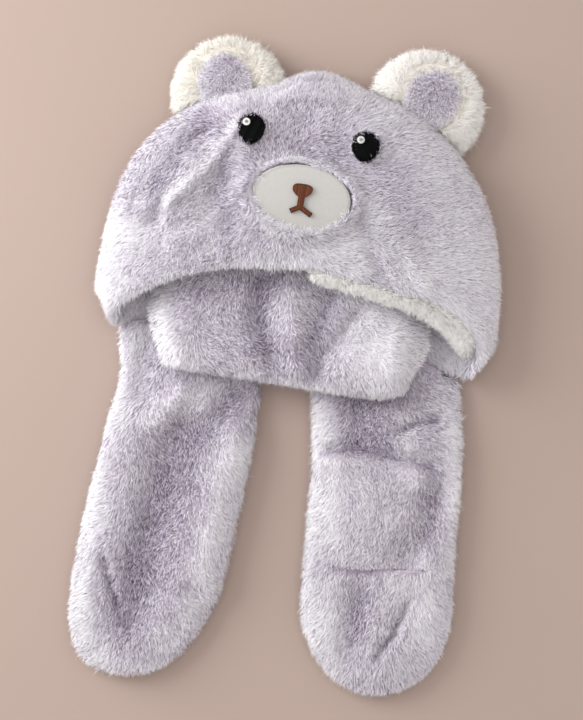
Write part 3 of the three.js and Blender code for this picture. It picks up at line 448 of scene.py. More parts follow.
def strands(name, place, normal, nap, seed, length, width, lift, lock=1.4 * MM, softness=0.7, droop=0.35,
            paler=0.0):
    """One mesh of bare strands. Each is a narrow blade with a point at both ends, bent where it is widest.

    nap is the way that the pile is brushed at each root, and how ruffled it is there. Ruffled pile stands
    up more, points more ways, draws together in locks and shows more of its dark roots.
    """
    rng = np.random.default_rng(seed)
    count = len(place)
    brushed, ruffled = nap
    middle, numbers = lock_of(place, lock, seed)
    swing = np.radians(5 + 18 * ruffled) * (numbers[:, 0] * 2 - 1)
    swing += np.radians(9 + 30 * ruffled) * rng.normal(size=count)
    swing += np.radians(6 + 20 * ruffled) * wander(place, 9 * MM, seed + 1)
    at_side = np.clip(1 - 1.5 * normal[:, 2], 0, 1)
    swing += np.radians(16) * at_side * rng.normal(size=count)
    tuft, _ = lock_of(place, 3.4 * MM, seed + 2)
    middle = np.where(at_side[:, None] > 0.5, tuft, middle)
    cos, sin = np.cos(swing), np.sin(swing)
    brushed = np.stack([
        brushed[:, 0] * cos - brushed[:, 1] * sin,
        brushed[:, 0] * sin + brushed[:, 1] * cos,
        -droop * (1 - np.clip(normal[:, 2], 0, 1)),
    ], 1)
    lying = unit(brushed - (brushed * normal).sum(1, keepdims=True) * normal)
    facing_it = np.clip((brushed[:, :2] * normal[:, :2]).sum(1), 0, 1)
    facing_it *= np.clip(1 - 2 * normal[:, 2], 0, 1)
    stand = lift - 10 + 24 * ruffled + 20 * facing_it + 7 * rng.normal(size=count) + 14 * (numbers[:, 1] - 0.5)
    rise = np.radians(np.clip(stand, 6, 85))[:, None]
    reach = length * (1 - 0.28 * ruffled) * (1 + 0.35 * at_side * numbers[:, 2])
    reach *= 0.75 + 0.25 * numbers[:, 2] + 0.12 * rng.normal(size=count)
    reach = np.clip(reach, 1.0 * MM, None)[:, None]
    base = place - normal * 0.4 * MM
    bend = base + reach * 0.5 * (np.cos(rise) * lying + np.sin(rise) * normal)
    tip = bend + reach * 0.5 * (np.cos(rise * 0.55) * lying + np.sin(rise * 0.55) * normal)
    pull = middle - place
    pull -= (pull * normal).sum(1, keepdims=True) * normal
    gather = (0.1 + 0.35 * ruffled + 0.2 * at_side)[:, None]
    bend += pull * gather * 0.4
    tip += pull * gather
    along = unit(tip - base)
    twist = np.radians(38) * rng.normal(size=count)[:, None]
    side = unit(np.cross(normal, along))
    across = side * np.cos(twist) + np.cross(along, side) * np.sin(twist)
    face = unit(np.cross(across, along))
    outward = np.where((face * normal).sum(1, keepdims=True) < 0, -1.0, 1.0)
    across, face = across * outward, face * outward
    wide = (width * (1.25 - 0.3 * ruffled + 0.4 * (rng.random(count) - 0.5)))[:, None] / 2
    points = np.stack([base, bend - across * wide, bend + across * wide, tip], 1)
    points[:, :, 2] = np.maximum(points[:, :, 2], 0.25 * MM)
    shade = unit(normal * softness + face * (1 - softness) + 0.12 * rng.normal(size=(count, 3)))
    shade = np.repeat(shade[:, None, :], 4, 1)
    # Tone: a random spread, whose palest strands are partly painted glints, plus paler, which mostly carries
    # painted light and shade. paler also lifts first, so less of the painted dark root shows.
    tone = 0.62 - 0.12 * ruffled + (0.04 + 0.12 * ruffled) * (numbers[:, 3] - 0.5) + paler
    tone += (0.05 + 0.4 * ruffled) * rng.normal(size=count)
    deep = 0.5 * ruffled * rng.normal(size=count)
    first = np.clip(0.6 * (1 - ruffled) + 0.7 * paler + deep, -0.4, 0.8)
    last = np.clip(1 + 0.6 * deep, 0.55, 1)
    return blades(name, points.reshape(-1, 3), shade.reshape(-1, 3), np.clip(tone, 0.02, 0.98), first, last)


def blades(name, points, shade, tone, first, last):
    """A mesh of blades with four points each. Its UV map holds each blade's tone and the way along it, which
    goes from first to last. Where pile lies flat, only the pale outer part of each strand shows, so first is
    high there, and a dark strand ends below 1."""
    count = len(tone)
    mesh = bpy.data.meshes.new(name)
    mesh.vertices.add(count * 4)
    mesh.vertices.foreach_set("co", points.astype(np.float32).ravel())
    corners = np.arange(count)[:, None] * 4 + np.array([[0, 2, 1, 1, 2, 3]])
    mesh.loops.add(count * 6)
    mesh.loops.foreach_set("vertex_index", corners.ravel().astype(np.int32))
    mesh.polygons.add(count * 2)
    mesh.polygons.foreach_set("loop_start", np.arange(0, count * 6, 3, dtype=np.int32))
    mesh.update(calc_edges=True)
    uv = mesh.uv_layers.new(name="pile")
    part = np.array([[0.0, 0.5, 0.5, 0.5, 0.5, 1.0]])
    way = (first[:, None] * (1 - part) + last[:, None] * part).ravel()
    uv.data.foreach_set("uv", np.stack([np.repeat(tone, 6), way], 1).astype(np.float32).ravel())
    mesh.polygons.foreach_set("use_smooth", np.ones(count * 2, bool))
    mesh.normals_split_custom_set_from_vertices(shade.astype(np.float32))
    piece = bpy.data.objects.new(name, mesh)
    scene.collection.objects.link(piece)
    return piece


# Threads


def tree_of(piece):
    return BVHTree.FromPolygons([v.co for v in piece.data.vertices], [p.vertices for p in piece.data.polygons])


def height_over(tree):
    """A function that gives the height of the upper side at a place, or None beside it."""
    def height(x, y):
        return tree.ray_cast(Vector((x, y, 0.3)), Vector((0, 0, -1)))[0]
    return height


def threads(name, paths, radius, seed, sides=6):
    """Round threads along paths of places, closed at both ends. Their UV map holds a seeded tone and the
    distance to the nearer end in units of 3 mm."""
    rng = np.random.default_rng(seed)
    vertices, faces, values = [], [], []
    for path in paths:
        path = np.array(path)
        way = unit(np.gradient(path, axis=0))
        side = unit(np.cross(way, (0.0, 0.0, 1.0)))
        up = np.cross(side, way)
        gone = np.concatenate([[0], np.cumsum(np.linalg.norm(np.diff(path, axis=0), axis=1))])
        tone = rng.random()
        start, last = len(vertices), len(path) - 1
        for k, spot in enumerate(path):
            thick = radius * (0.55 if k in (0, last) else 1.0)
            for turn in range(sides):
                angle = math.tau * turn / sides
                vertices.append(spot + thick * (math.cos(angle) * side[k] + math.sin(angle) * up[k]))
                values.append((tone, min(gone[k], gone[-1] - gone[k]) / (3 * MM)))
        for k in range(last):
            for turn in range(sides):
                here, there = start + k * sides, start + (k + 1) * sides
                beside = (turn + 1) % sides
                faces.append((here + turn, there + turn, there + beside, here + beside))
        faces.append(tuple(range(start, start + sides)))
        faces.append(tuple(reversed(range(start + last * sides, start + (last + 1) * sides))))
    mesh = bpy.data.meshes.new(name)
    mesh.from_pydata([tuple(v) for v in vertices], [], faces)
    corners = np.empty(len(mesh.loops), np.int32)
    mesh.loops.foreach_get("vertex_index", corners)
    uv = mesh.uv_layers.new(name="thread")
    uv.data.foreach_set("uv", np.clip(np.array(values)[corners], 0, 1).astype(np.float32).ravel())
    piece = bpy.data.objects.new(name, mesh)
    scene.collection.objects.link(piece)
    shades_smooth(piece)
    return piece


def satin(node, name, angle, spacing, ragged, seed):
    """Satin stitches side by side over the top of a CAD node, with uneven ends."""
    rng = np.random.default_rng(seed)
    height = height_over(tree_of(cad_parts[node]))
    low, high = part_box(node)
    middle = np.array([(low.x + high.x) / 2, (low.y + high.y) / 2])
    reach = 0.6 * math.hypot(high.x - low.x, high.y - low.y)
    way = np.array([math.cos(math.radians(angle)), math.sin(math.radians(angle))])
    aside = np.array([-way[1], way[0]])
    paths = []
    for offset in np.arange(-reach, reach, spacing):
        run = []
        for step in np.arange(-reach, reach, 0.5 * MM):
            spot = middle + way * step + aside * offset
            top = height(*spot)
            if top is not None:
                run.append((top.x, top.y, top.z + 0.1 * MM))
            if top is None and len(run) > 2:
                paths.append(run)
            if top is None:
                run = []
    finished = []
    for run in paths:
        run = np.array(run)[::2]
        if len(run) < 2:
            continue
        start = run[0] - [*(way * ragged * rng.random()), 0.5 * MM]
        end = run[-1] + [*(way * ragged * rng.random()), -0.5 * MM]
        sway = rng.normal(size=2) * 0.06 * MM
        run[:, :2] += sway
        finished.append(np.vstack([start, run, end]))
    return threads(name, finished, spacing * 0.56, seed)


def outline_of(node, steps=120):
    """The edge of a round CAD node seen from above, as its middle and the places on its edge."""
    height = height_over(tree_of(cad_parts[node]))
    low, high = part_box(node)
    middle = np.array([(low.x + high.x) / 2, (low.y + high.y) / 2])
    edge = []
    for angle in np.arange(steps) * math.tau / steps:
        way = np.array([math.cos(angle), math.sin(angle)])
        inside, outside = 0.0, 60 * MM
        for _ in range(16):
            between = (inside + outside) / 2
            if height(*(middle + way * between)) is None:
                outside = between
            else:
                inside = between
        edge.append(middle + way * inside)
    return middle, np.array(edge), height


# Materials


def new_material(name, roughness, sheen=0.0, sheen_tint=(1, 1, 1), specular=0.3):
    """A material with its main shader, and the tools to add nodes to it."""
    material = bpy.data.materials.new(name)
    material.use_nodes = True
    nodes = material.node_tree.nodes
    shader = nodes["Principled BSDF"]
    shader.inputs["Roughness"].default_value = roughness
    shader.inputs["Sheen Weight"].default_value = sheen
    shader.inputs["Sheen Tint"].default_value = (*sheen_tint, 1)
    shader.inputs["Sheen Roughness"].default_value = 0.5
    shader.inputs["Specular IOR Level"].default_value = specular
    return material, nodes, material.node_tree.links, shader


def linear(colour):
    """Linear light from a colour as it is picked on a screen, 0 to 255."""
    parts = [c / 255 for c in colour]
    return tuple(c / 12.92 if c <= 0.04045 else ((c + 0.055) / 1.055) ** 2.4 for c in parts) + (1.0,)


def ramp(nodes, stops):
    node = nodes.new("ShaderNodeValToRGB")
    elements = node.color_ramp.elements
    while len(elements) < len(stops):
        elements.new(0.5)
    for element, (place, colour) in zip(elements, stops):
        element.position = place
        element.color = linear(colour)
    return node


def pile_material(name, root, low, middle, tip, dark, pale, roughness=0.55, sheen=0.15):
    """Strands: darker at their roots, paler at their tips, with some dark and some pale ones. The dark roots are
    partly the fibres' own colour and partly painted shade deep in the pile, and the palest strands are partly
    painted glints.
    """
    material, nodes, links, shader = new_material(name, roughness, sheen, specular=0.35)
    uv = nodes.new("ShaderNodeUVMap")
    uv.uv_map = "pile"
    split = nodes.new("ShaderNodeSeparateXYZ")
    links.new(uv.outputs["UV"], split.inputs[0])
    length = ramp(nodes, [(0.0, root), (0.3, low), (0.62, middle), (1.0, tip)])
    links.new(split.outputs["Y"], length.inputs["Fac"])
    tone = ramp(nodes, [(0.1, dark), (0.5, (188, 188, 188)), (0.95, pale)])
    links.new(split.outputs["X"], tone.inputs["Fac"])
    mix = nodes.new("ShaderNodeMix")
    mix.data_type = "RGBA"
    mix.blend_type = "SOFT_LIGHT"
    mix.inputs["Factor"].default_value = 1.0
    links.new(length.outputs["Color"], mix.inputs["A"])
    links.new(tone.outputs["Color"], mix.inputs["B"])
    links.new(mix.outputs["Result"], shader.inputs["Base Color"])
    return material


def painted_shading_at(roots, normals, shading_table, folds):
    """How much paler the pile is painted at each root: the painted light and shade of a table, with painted shade
    in a fold's bottom and painted light on a ridge, where the pile also parts and closes.
    """
    value = sum_of_rows(roots, shading_table) - 0.025 * sum_of_rows(roots, folds)
    return value * np.clip(normals[:, 2] + 0.6, 0, 1)


def mark_painted_shading(skin, shading_table, folds):
    """Keeps at each point of a skin a closed value from 0 to 1: the painted light and shade of its pile. The short
    under-pile is painted paler where it is high.
    """
    value = 0.45 + 1.4 * painted_shading_at(points_of(skin), normals_of(skin), shading_table, folds)
    kept = skin.data.attributes.new("closed", "FLOAT", "POINT")
    kept.data.foreach_set("value", np.clip(value, 0, 1).astype(np.float32))


def backing_material(name, deep, pale, closed=None):
    """The knitted backing that the pile stands on, with the short under-pile's uneven colour. Where the skin's
    closed value is high, the colour goes over to a paler one: painted light and shade, as on the pile."""
    material, nodes, links, shader = new_material(name, 0.9, 0.2)
    place = nodes.new("ShaderNodeTexCoord")
    noise = nodes.new("ShaderNodeTexNoise")
    noise.inputs["Scale"].default_value = 900
    noise.inputs["Detail"].default_value = 3
    links.new(place.outputs["Object"], noise.inputs["Vector"])
    colour = ramp(nodes, [(0.35, deep), (0.7, pale)])
    links.new(noise.outputs["Fac"], colour.inputs["Fac"])
    links.new(colour.outputs["Color"], shader.inputs["Base Color"])
    if closed:
        kept = nodes.new("ShaderNodeAttribute")
        kept.attribute_name = "closed"
        mix = nodes.new("ShaderNodeMix")
        mix.data_type = "RGBA"
        mix.inputs["B"].default_value = linear(closed)
        links.new(kept.outputs["Fac"], mix.inputs["Factor"])
        links.new(colour.outputs["Color"], mix.inputs["A"])
        links.new(mix.outputs["Result"], shader.inputs["Base Color"])
    bump = nodes.new("ShaderNodeBump")
    bump.inputs["Strength"].default_value = 0.6
    bump.inputs["Distance"].default_value = 0.6 * MM
    links.new(noise.outputs["Fac"], bump.inputs["Height"])
    links.new(bump.outputs["Normal"], shader.inputs["Normal"])
    return material


def thread_material(name, dark, middle, pale, edge, roughness=0.45, specular=0.3):
    """Shiny embroidery thread. Threads differ a little, and each is darker where it goes into the cloth."""
    material, nodes, links, shader = new_material(name, roughness, specular=specular)
    uv = nodes.new("ShaderNodeUVMap")
    uv.uv_map = "thread"
    split = nodes.new("ShaderNodeSeparateXYZ")
    links.new(uv.outputs["UV"], split.inputs[0])
    tone = ramp(nodes, [(0.0, dark), (0.5, middle), (1.0, pale)])
    links.new(split.outputs["X"], tone.inputs["Fac"])
    ends = ramp(nodes, [(0.0, edge), (0.3, (255, 255, 255))])
    links.new(split.outputs["Y"], ends.inputs["Fac"])
    mix = nodes.new("ShaderNodeMix")
    mix.data_type = "RGBA"
    mix.blend_type = "MULTIPLY"
    mix.inputs["Factor"].default_value = 1.0
    links.new(tone.outputs["Color"], mix.inputs["A"])
    links.new(ends.outputs["Color"], mix.inputs["B"])
    links.new(mix.outputs["Result"], shader.inputs["Base Color"])
    place = nodes.new("ShaderNodeTexCoord")
    fibres = nodes.new("ShaderNodeTexNoise")
    fibres.inputs["Scale"].default_value = 6000
    links.new(place.outputs["Object"], fibres.inputs["Vector"])
    bump = nodes.new("ShaderNodeBump")
    bump.inputs["Strength"].default_value = 0.3
    bump.inputs["Distance"].default_value = 0.05 * MM
    links.new(fibres.outputs["Fac"], bump.inputs["Height"])
    links.new(bump.outputs["Normal"], shader.inputs["Normal"])
    return material


def felt_material(name, deep, pale, scale=700, roughness=0.85, sheen=0.25):
    """Felt or padding under stitches: fine matted fibres with a slightly uneven colour."""
    material, nodes, links, shader = new_material(name, roughness, sheen, specular=0.2)
    place = nodes.new("ShaderNodeTexCoord")
    cloud = nodes.new("ShaderNodeTexNoise")
    cloud.inputs["Scale"].default_value = scale
    cloud.inputs["Detail"].default_value = 5
    cloud.inputs["Roughness"].default_value = 0.7
    links.new(place.outputs["Object"], cloud.inputs["Vector"])
    colour = ramp(nodes, [(0.3, deep), (0.7, pale)])
    links.new(cloud.outputs["Fac"], colour.inputs["Fac"])
    links.new(colour.outputs["Color"], shader.inputs["Base Color"])
    bump = nodes.new("ShaderNodeBump")
    bump.inputs["Strength"].default_value = 0.4
    bump.inputs["Distance"].default_value = 0.15 * MM
    links.new(cloud.outputs["Fac"], bump.inputs["Height"])
    links.new(bump.outputs["Normal"], shader.inputs["Normal"])
    return material


def floor_material():
    """A plain matt floor of warm pinkish beige."""
    material, nodes, links, shader = new_material("warm_floor", 0.85, specular=0.2)
    place = nodes.new("ShaderNodeTexCoord")
    noise = nodes.new("ShaderNodeTexNoise")
    noise.inputs["Scale"].default_value = 2.5
    links.new(place.outputs["Object"], noise.inputs["Vector"])
    colour = ramp(nodes, [(0.3, (176, 157, 147)), (0.7, (180, 161, 151))])
    links.new(noise.outputs["Fac"], colour.inputs["Fac"])
    links.new(colour.outputs["Color"], shader.inputs["Base Color"])
    return material


LILAC_PILE = pile_material("lilac_pile", (112, 97, 118), (162, 150, 168), (208, 200, 214), (250, 250, 253),
                           (84, 84, 84), (250, 250, 250))
WHITE_PILE = pile_material("white_pile", (238, 233, 222), (243, 239, 230), (247, 244, 237), (251, 249, 244),
                           (172, 172, 172), (220, 220, 220))
ROLL_PILE = pile_material("roll_pile", (216, 214, 209), (232, 231, 227), (245, 244, 241), (252, 252, 250),
                          (160, 160, 160), (230, 230, 230))
# The lilac backing's third colour is its painted light, where the pile above it is painted pale.
LILAC_BACKING = backing_material("lilac_backing", (112, 98, 118), (146, 132, 152), (212, 202, 216))
POCKET_LINING = backing_material("pocket_lining", (62, 54, 68), (84, 74, 90))
WHITE_BACKING = backing_material("white_backing", (236, 230, 219), (246, 241, 232))
BLACK_THREAD = thread_material("black_thread", (4, 4, 5), (7, 7, 8), (20, 20, 22), (150, 150, 150), 0.65, 0.06)
BLACK_PADDING = felt_material("black_padding", (4, 4, 5), (7, 7, 8), sheen=0.0)
WHITE_PADDING = felt_material("white_padding", (206, 206, 204), (220, 220, 218), sheen=0.0)
WHITE_THREAD = thread_material("white_thread", (214, 214, 212), (232, 232, 230), (246, 246, 244), (200, 200, 200))
GREY_THREAD = thread_material("grey_thread", (146, 146, 148), (164, 164, 166), (182, 182, 184), (200, 200, 200))
BROWN_THREAD = thread_material("brown_thread", (88, 48, 31), (106, 60, 41), (124, 74, 53), (96, 76, 68), 0.6, 0.15)
BROWN_PADDING = felt_material("brown_padding", (44, 22, 13), (56, 29, 18), sheen=0.0)
MUZZLE_FELT = felt_material("muzzle_felt", (184, 183, 179), (192, 191, 187))
MUZZLE_THREAD = thread_material("muzzle_thread", (172, 173, 168), (180, 181, 176), (188, 189, 184), (215, 215, 215))
# A dark thread along the muzzle patch's upper edge: partly its stitched outline, partly a painted shadow where the
# felt meets the fur.
OUTLINE_THREAD_AND_SHADOW = thread_material("outline_thread_and_shadow", (70, 66, 74), (84, 79, 88), (100, 95, 104), (190, 190, 190))


# Hood

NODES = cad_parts

# How far the hood's top edge stands out, as x and mm: the back panel swells out behind the front one.
CROWN_EDGE = [
    (-60, 0), (-30, -2), (-12, -3), (-4, -1.5), (3, 1.5), (10, 5), (18, 6.5), (28, 7), (38, 5.5), (48, 2),
    (56, -1.5), (72, -2), (95, 0),
]


def shape_crown(piece):
    """Swells the back panel out behind the middle of the crown, and lowers it there."""
    points = points_of(piece)
    x, y = points[:, 0] / MM, points[:, 1] / MM
    near = np.clip((y - 172) / 14, 0, 1)
    columns = np.array(CROWN_EDGE, float)
    points[:, 1] += np.interp(x, columns[:, 0], columns[:, 1]) * near * MM
    behind = np.clip((y - 186) / 3, 0, 1) * np.clip((32 - np.abs(x - 24)) / 16, 0, 1)
    points[:, 2] -= np.minimum(8.0 * MM * behind, 0.45 * points[:, 2])
    move_points(piece, points)


ROUND_FACE = {node: outline_of(node) for node in ("left_eye", "right_eye", "muzzle_patch")}

hood = cloth_of("hood_shell", "hood_skin")
inner_faces = facing_hollow(hood, 70 * MM)
outer_share = 1 - share_of_faces(hood, inner_faces)
upper = outer_share * np.clip(normals_of(hood)[:, 2], 0, 1)
fold(hood, HOOD_FOLDS, upper)
ruffle(hood, HOOD_NAP, upper)
for node, rise in (("left_eye", 2.0), ("right_eye", 2.0), ("muzzle_patch", 3.6)):
    middle, edge, height = ROUND_FACE[node]
    around = [tuple(spot / MM) for spot in middle + (edge - middle) * 1.09]
    fold(hood, [(around + around[:1], 4.2, -rise)], upper)
sink(hood, PILE_DEPTH, outer_share)
shape_crown(hood)
# The backing gets the painted light and shade of the hood's pile.
mark_painted_shading(hood, HOOD_PAINTED_SHADING, HOOD_FOLDS)
hood.data.materials.append(LILAC_BACKING)
hood.data.materials.append(WHITE_BACKING)
hood.data.polygons.foreach_set("material_index", inner_faces.astype(np.int32))
worn_by(hood, "lilac_plush", "hood_shell")


def outside_face(points):
    """1 where pile grows, 0 under the eyes and the muzzle patch."""
    keep = np.ones(len(points))
    for middle, edge, height in ROUND_FACE.values():
        away = points[:, :2] - middle
        angle = np.arctan2(away[:, 1], away[:, 0]) % math.tau
        number = np.round(angle / math.tau * len(edge)).astype(int) % len(edge)
        inside = np.linalg.norm(away, axis=1) < np.linalg.norm(edge - middle, axis=1)[number] * 0.95
        keep[inside & (points[:, 2] > 30 * MM)] = 0
    return keep


def hood_share(middle, facing, outer):
    """Thick pile where it shows from above, thin underneath, none inside and none under the face."""
    return np.where(facing[:, 2] > -0.25, 1.0, 0.06) * outside_face(middle) * outer


def add_pile(name, roots, normals, nap, seed, material, slot, **shape):
    """Pile as a piece of its own, in its material."""
    pile = strands(name, roots, normals, nap, seed, **shape)
    pile.data.materials.append(material)
    worn_by(pile, slot)
    return pile


LONG_PILE = {"width": 0.33 * MM, "lift": 29.0}
PILE_LENGTH = 7.2 * MM
roots, normals = roots_on(hood, 160000, 11, hood_share, outer_share)
left_side = roots[:, 0] < 12 * MM
# paler holds the painted light and shade at each root.
paler = painted_shading_at(roots, normals, HOOD_PAINTED_SHADING, HOOD_FOLDS)
for name, chosen, seed in [("hood_pile_left", left_side, 12), ("hood_pile_right", ~left_side, 13)]:
    add_pile(name, roots[chosen], normals[chosen], nap_at(roots[chosen], HOOD_NAP), seed,
             LILAC_PILE, "lilac_plush", length=PILE_LENGTH, paler=paler[chosen], **LONG_PILE)

# The fringe that hangs over the front rim, and the lining that shows under it
points = points_of(hood)
at_rim = (outer_share > 0.05) & (outer_share < 0.95) & (points[:, 2] > 20 * MM) & (points[:, 1] < 110 * MM)
rim = KDTree(int(at_rim.sum()))
for number, spot in enumerate(points[at_rim]):
    rim.insert(spot, number)
rim.balance()
from_rim = np.full(len(points), 1.0)
for number in np.nonzero((points[:, 2] > 16 * MM) & (points[:, 1] < 115 * MM))[0]:
    from_rim[number] = rim.find(points[number])[2]
fringe_share = np.exp(-((from_rim / (5 * MM)) ** 2))


def as_given(middle, facing, outer):
    return outer


def brushed_out(roots, normals, nap, outward=1.5):
    """Pile that points away from the piece at its sides, and lies as the table says on top."""
    way, ruffled = nap_at(roots, nap)
    return unit(way * 0.6 + normals[:, :2] * outward), ruffled


roots, normals = roots_on(hood, 9000, 14, as_given, fringe_share * (outer_share > 0.3))
add_pile("rim_fringe", roots, normals, brushed_out(roots, normals, HOOD_NAP), 15, LILAC_PILE, "lilac_plush",
         length=8.5 * MM, width=0.45 * MM, lift=18.0, droop=0.7)
showing = (points[:, 0] > -14 * MM) & (points[:, 0] < 24 * MM)
roots, normals = roots_on(hood, 900, 16, as_given, fringe_share * (outer_share < 0.6) * showing)
add_pile("rim_lining_pile", roots, normals, brushed_out(roots, normals, HOOD_NAP), 17, WHITE_PILE, "white_plush",
         length=7.5 * MM, width=0.45 * MM, lift=22.0, droop=0.3)
deep_inside = np.clip(1 - from_rim / (45 * MM), 0, 1) * (outer_share < 0.1)
roots, normals = roots_on(hood, 6000, 18, as_given, deep_inside)
add_pile("lining_pile", roots, normals, brushed_out(roots, normals, HOOD_NAP, 0.0), 19, WHITE_PILE, "white_plush",
         length=4.5 * MM, width=0.5 * MM, lift=40.0)


# Pile at the edge of the front panel, which stands up before the back panel's swell
def crown_share(middle, facing, outer):
    """The front panel's top edge, from ear to ear."""
    near = (np.abs(middle[:, 1] - 183.5 * MM) < 2.5 * MM) & (facing[:, 2] > 0.1)
    return np.where(near, 1.0, 0.0) * np.clip((44 - np.abs(middle[:, 0] / MM - 20)) / 24, 0, 1) * outer


roots, normals = roots_on(hood, 1800, 20, crown_share, outer_share)
upwards = np.tile(np.array([[0.1, 1.0]]), (len(roots), 1))
add_pile("crown_fringe", roots, normals, (unit(upwards), np.full(len(roots), 0.45)), 24, LILAC_PILE, "lilac_plush",
         length=7.5 * MM, width=0.32 * MM, lift=20.0, paler=-0.02)


# Neck band and scarf ends

def visible_share(middle, facing, outer):
    """Thick pile on top and round the sides, thin on the side that lies on the table."""
    return np.where(facing[:, 2] > -0.3, 1.0, 0.05) * outer


def from_slit(points):
    """How far each place lies along the pocket's slit and beside it in mm, and the way that leads beside it."""
    turn = math.radians(SLIT["turn"])
    way = np.array([math.cos(turn), math.sin(turn)])
    aside = np.array([-way[1], way[0]])
    flat = points[:, :2] / MM - (SLIT["x"], SLIT["y"])
    along = flat @ way
    return along, flat @ aside - 0.6 * np.sin(along / 8), aside


def close_slit(piece, moved):
    """Draws the two lips of the pocket's slit together, as they lie in the real cloth."""
    points = points_of(piece)
    along, off, aside = from_slit(points)
    near = np.abs(off)
    fall = np.exp(-((np.maximum(near - SLIT["open"], 0) / 9.0) ** 2))
    ends = np.clip((SLIT["half"] + 6 - np.abs(along)) / 12, 0, 1)
    step = np.minimum(near, (SLIT["open"] - SLIT["left_open"]) * fall * ends) * np.sign(off) * moved
    points[:, :2] -= step[:, None] * aside * MM
    move_points(piece, points)


def plush_pad(node, name, folds, shading_table, nap, reach, count, seed, hollow_below=-1.0):
    """A padded plush piece: its skin and the pile on it. Only a piece with a pocket is hollow, and only
    towards its tip."""
    skin = cloth_of(node, name + "_skin")
    inner_faces = facing_hollow(skin, 10 * MM)
    inner = share_of_faces(skin, inner_faces) * (points_of(skin)[:, 1] < hollow_below)
    up = normals_of(skin)[:, 2]
    ceiling = inner * (up < -0.5)
    upper = np.maximum(np.clip(up, 0, 1) * (inner < 0.3), ceiling)
    filled(skin, 1.8 * MM, np.where(inner > 0, 0.0, 1.0))
    reach_out(skin, reach)
    fold(skin, folds, upper)
    ruffle(skin, nap, upper * (inner < 0.3), height=0.7 * MM)
    sink(skin, PILE_DEPTH, np.where(inner > 0.3, -ceiling, 1.0))
    if hollow_below > -1.0:
        close_slit(skin, points_of(skin)[:, 2] > 11 * MM)
    skin.data.materials.append(LILAC_BACKING)
    skin.data.materials.append(POCKET_LINING)
    inside = inner_faces & (np.array([face.center.y for face in skin.data.polygons]) < hollow_below)
    skin.data.polygons.foreach_set("material_index", inside.astype(np.int32))
    # The backing gets the painted light and shade of the tables, as the pile does below.
    mark_painted_shading(skin, shading_table, folds)
    worn_by(skin, "lilac_plush", node)
    roots, normals = roots_on(skin, count, seed, visible_share, np.where(inner > 0.3, 0.0, 1.0))
    length = np.full(count, PILE_LENGTH)
    if hollow_below > -1.0:
        along, off, _ = from_slit(roots)
        above = (np.abs(along) < SLIT["half"]) & (off > 0) & (off < PILE_LENGTH / MM)
        over = np.random.default_rng(seed).uniform(0.2, 2.4, above.sum())
        length[above] = (off[above] + over) * MM
    add_pile(name + "_pile", roots, normals, nap_at(roots, nap), seed + 1, LILAC_PILE, "lilac_plush",
             length=length, paler=painted_shading_at(roots, normals, shading_table, folds), **LONG_PILE)


plush_pad("neck_band", "neck_band", BAND_FOLDS, BAND_PAINTED_SHADING, BAND_NAP, BAND_REACH, 44000, 21)
plush_pad("left_scarf_end", "left_end", LEFT_END_FOLDS, LEFT_END_PAINTED_SHADING, LEFT_END_NAP, LEFT_END_REACH, 56000, 31)
plush_pad("right_scarf_end", "right_end", RIGHT_END_FOLDS, RIGHT_END_PAINTED_SHADING, RIGHT_END_NAP, RIGHT_END_REACH,
          56000, 41, hollow_below=-120 * MM)


# Ears


def upper_share(middle, facing, outer):
    """Pile on the upper side alone."""
    return np.where(facing[:, 2] > 0, 1.0, 0.0)


def round_ear(node, pad_node, name, reach, seed, paler):
    """A round ear of long white pile with a lilac inner patch."""
    skin = cloth_of(node, name + "_skin", smooth=12)
    reach_out(skin, reach)
    sink(skin, 4.2 * MM)
    skin.data.materials.append(WHITE_BACKING)
    worn_by(skin, "white_plush", node)
    patch = cloth_of(pad_node, name + "_patch_skin", voxel=1.2 * MM)
    sink(patch, 1.0 * MM)
    move_points(patch, points_of(patch) - (1.5 * MM, 2.8 * MM, 2.2 * MM))
    patch.data.materials.append(LILAC_BACKING)
    mark_painted_shading(patch, [], [])
    worn_by(patch, "lilac_plush", pad_node)
    low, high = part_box(node)
    middle = np.array([(low.x + high.x) / 2, (low.y + high.y) / 2])
    low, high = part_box(pad_node)
    oval = ((low.x + high.x) / 2, (low.y + high.y) / 2, (high.x - low.x) / 2, (high.y - low.y) / 2)

    def from_patch(where):
        return ((where[:, 0] - oval[0]) / oval[2]) ** 2 + ((where[:, 1] - oval[1]) / oval[3]) ** 2

    def share(where, facing, outer):
        under = (from_patch(where) < 0.8) & (facing[:, 2] > 0)
        return np.where(under, 0.0, np.where(facing[:, 2] > -0.4, 1.0, 0.2))

    roots, normals = roots_on(skin, 19000, seed, share, np.ones(len(skin.data.vertices)))
    outwards = unit(roots[:, :2] - middle)
    inwards = unit(np.array(oval[:2]) - roots[:, :2])
    beside = (np.clip(1.5 - from_patch(roots), 0, 0.5) / 0.5)[:, None] * (normals[:, 2:] > 0)
    around = np.stack([-outwards[:, 1], outwards[:, 0]], 1) * wander(roots, 5 * MM, seed)[:, None]
    way = unit(outwards * (1 - beside) + inwards * beside + 0.5 * around)
    crest = 0.5 + 0.5 * np.exp(-(((beside[:, 0] - 0.5) / 0.3) ** 2))
    add_pile(name + "_pile", roots, normals, (way, crest), seed + 1, WHITE_PILE, "white_plush",
             length=9.5 * MM, width=0.34 * MM, lift=38.0, paler=paler)
    roots, normals = roots_on(patch, 5500, seed + 2, upper_share, np.ones(len(patch.data.vertices)))
    dent = np.array(oval[:2]) - (0, 2 * MM)
    spread = unit(roots[:, :2] - dent) * np.clip(from_patch(roots), 0, 1)[:, None]
    brushed = unit(spread * 1.6 + (-0.1, -0.5))
    add_pile(name + "_patch_pile", roots, normals, (brushed, np.full(len(roots), 0.85)), seed + 3,
             LILAC_PILE, "lilac_plush", length=6.0 * MM, width=0.34 * MM, lift=22.0,
             paler=0.4 * from_patch(roots) - 0.12)


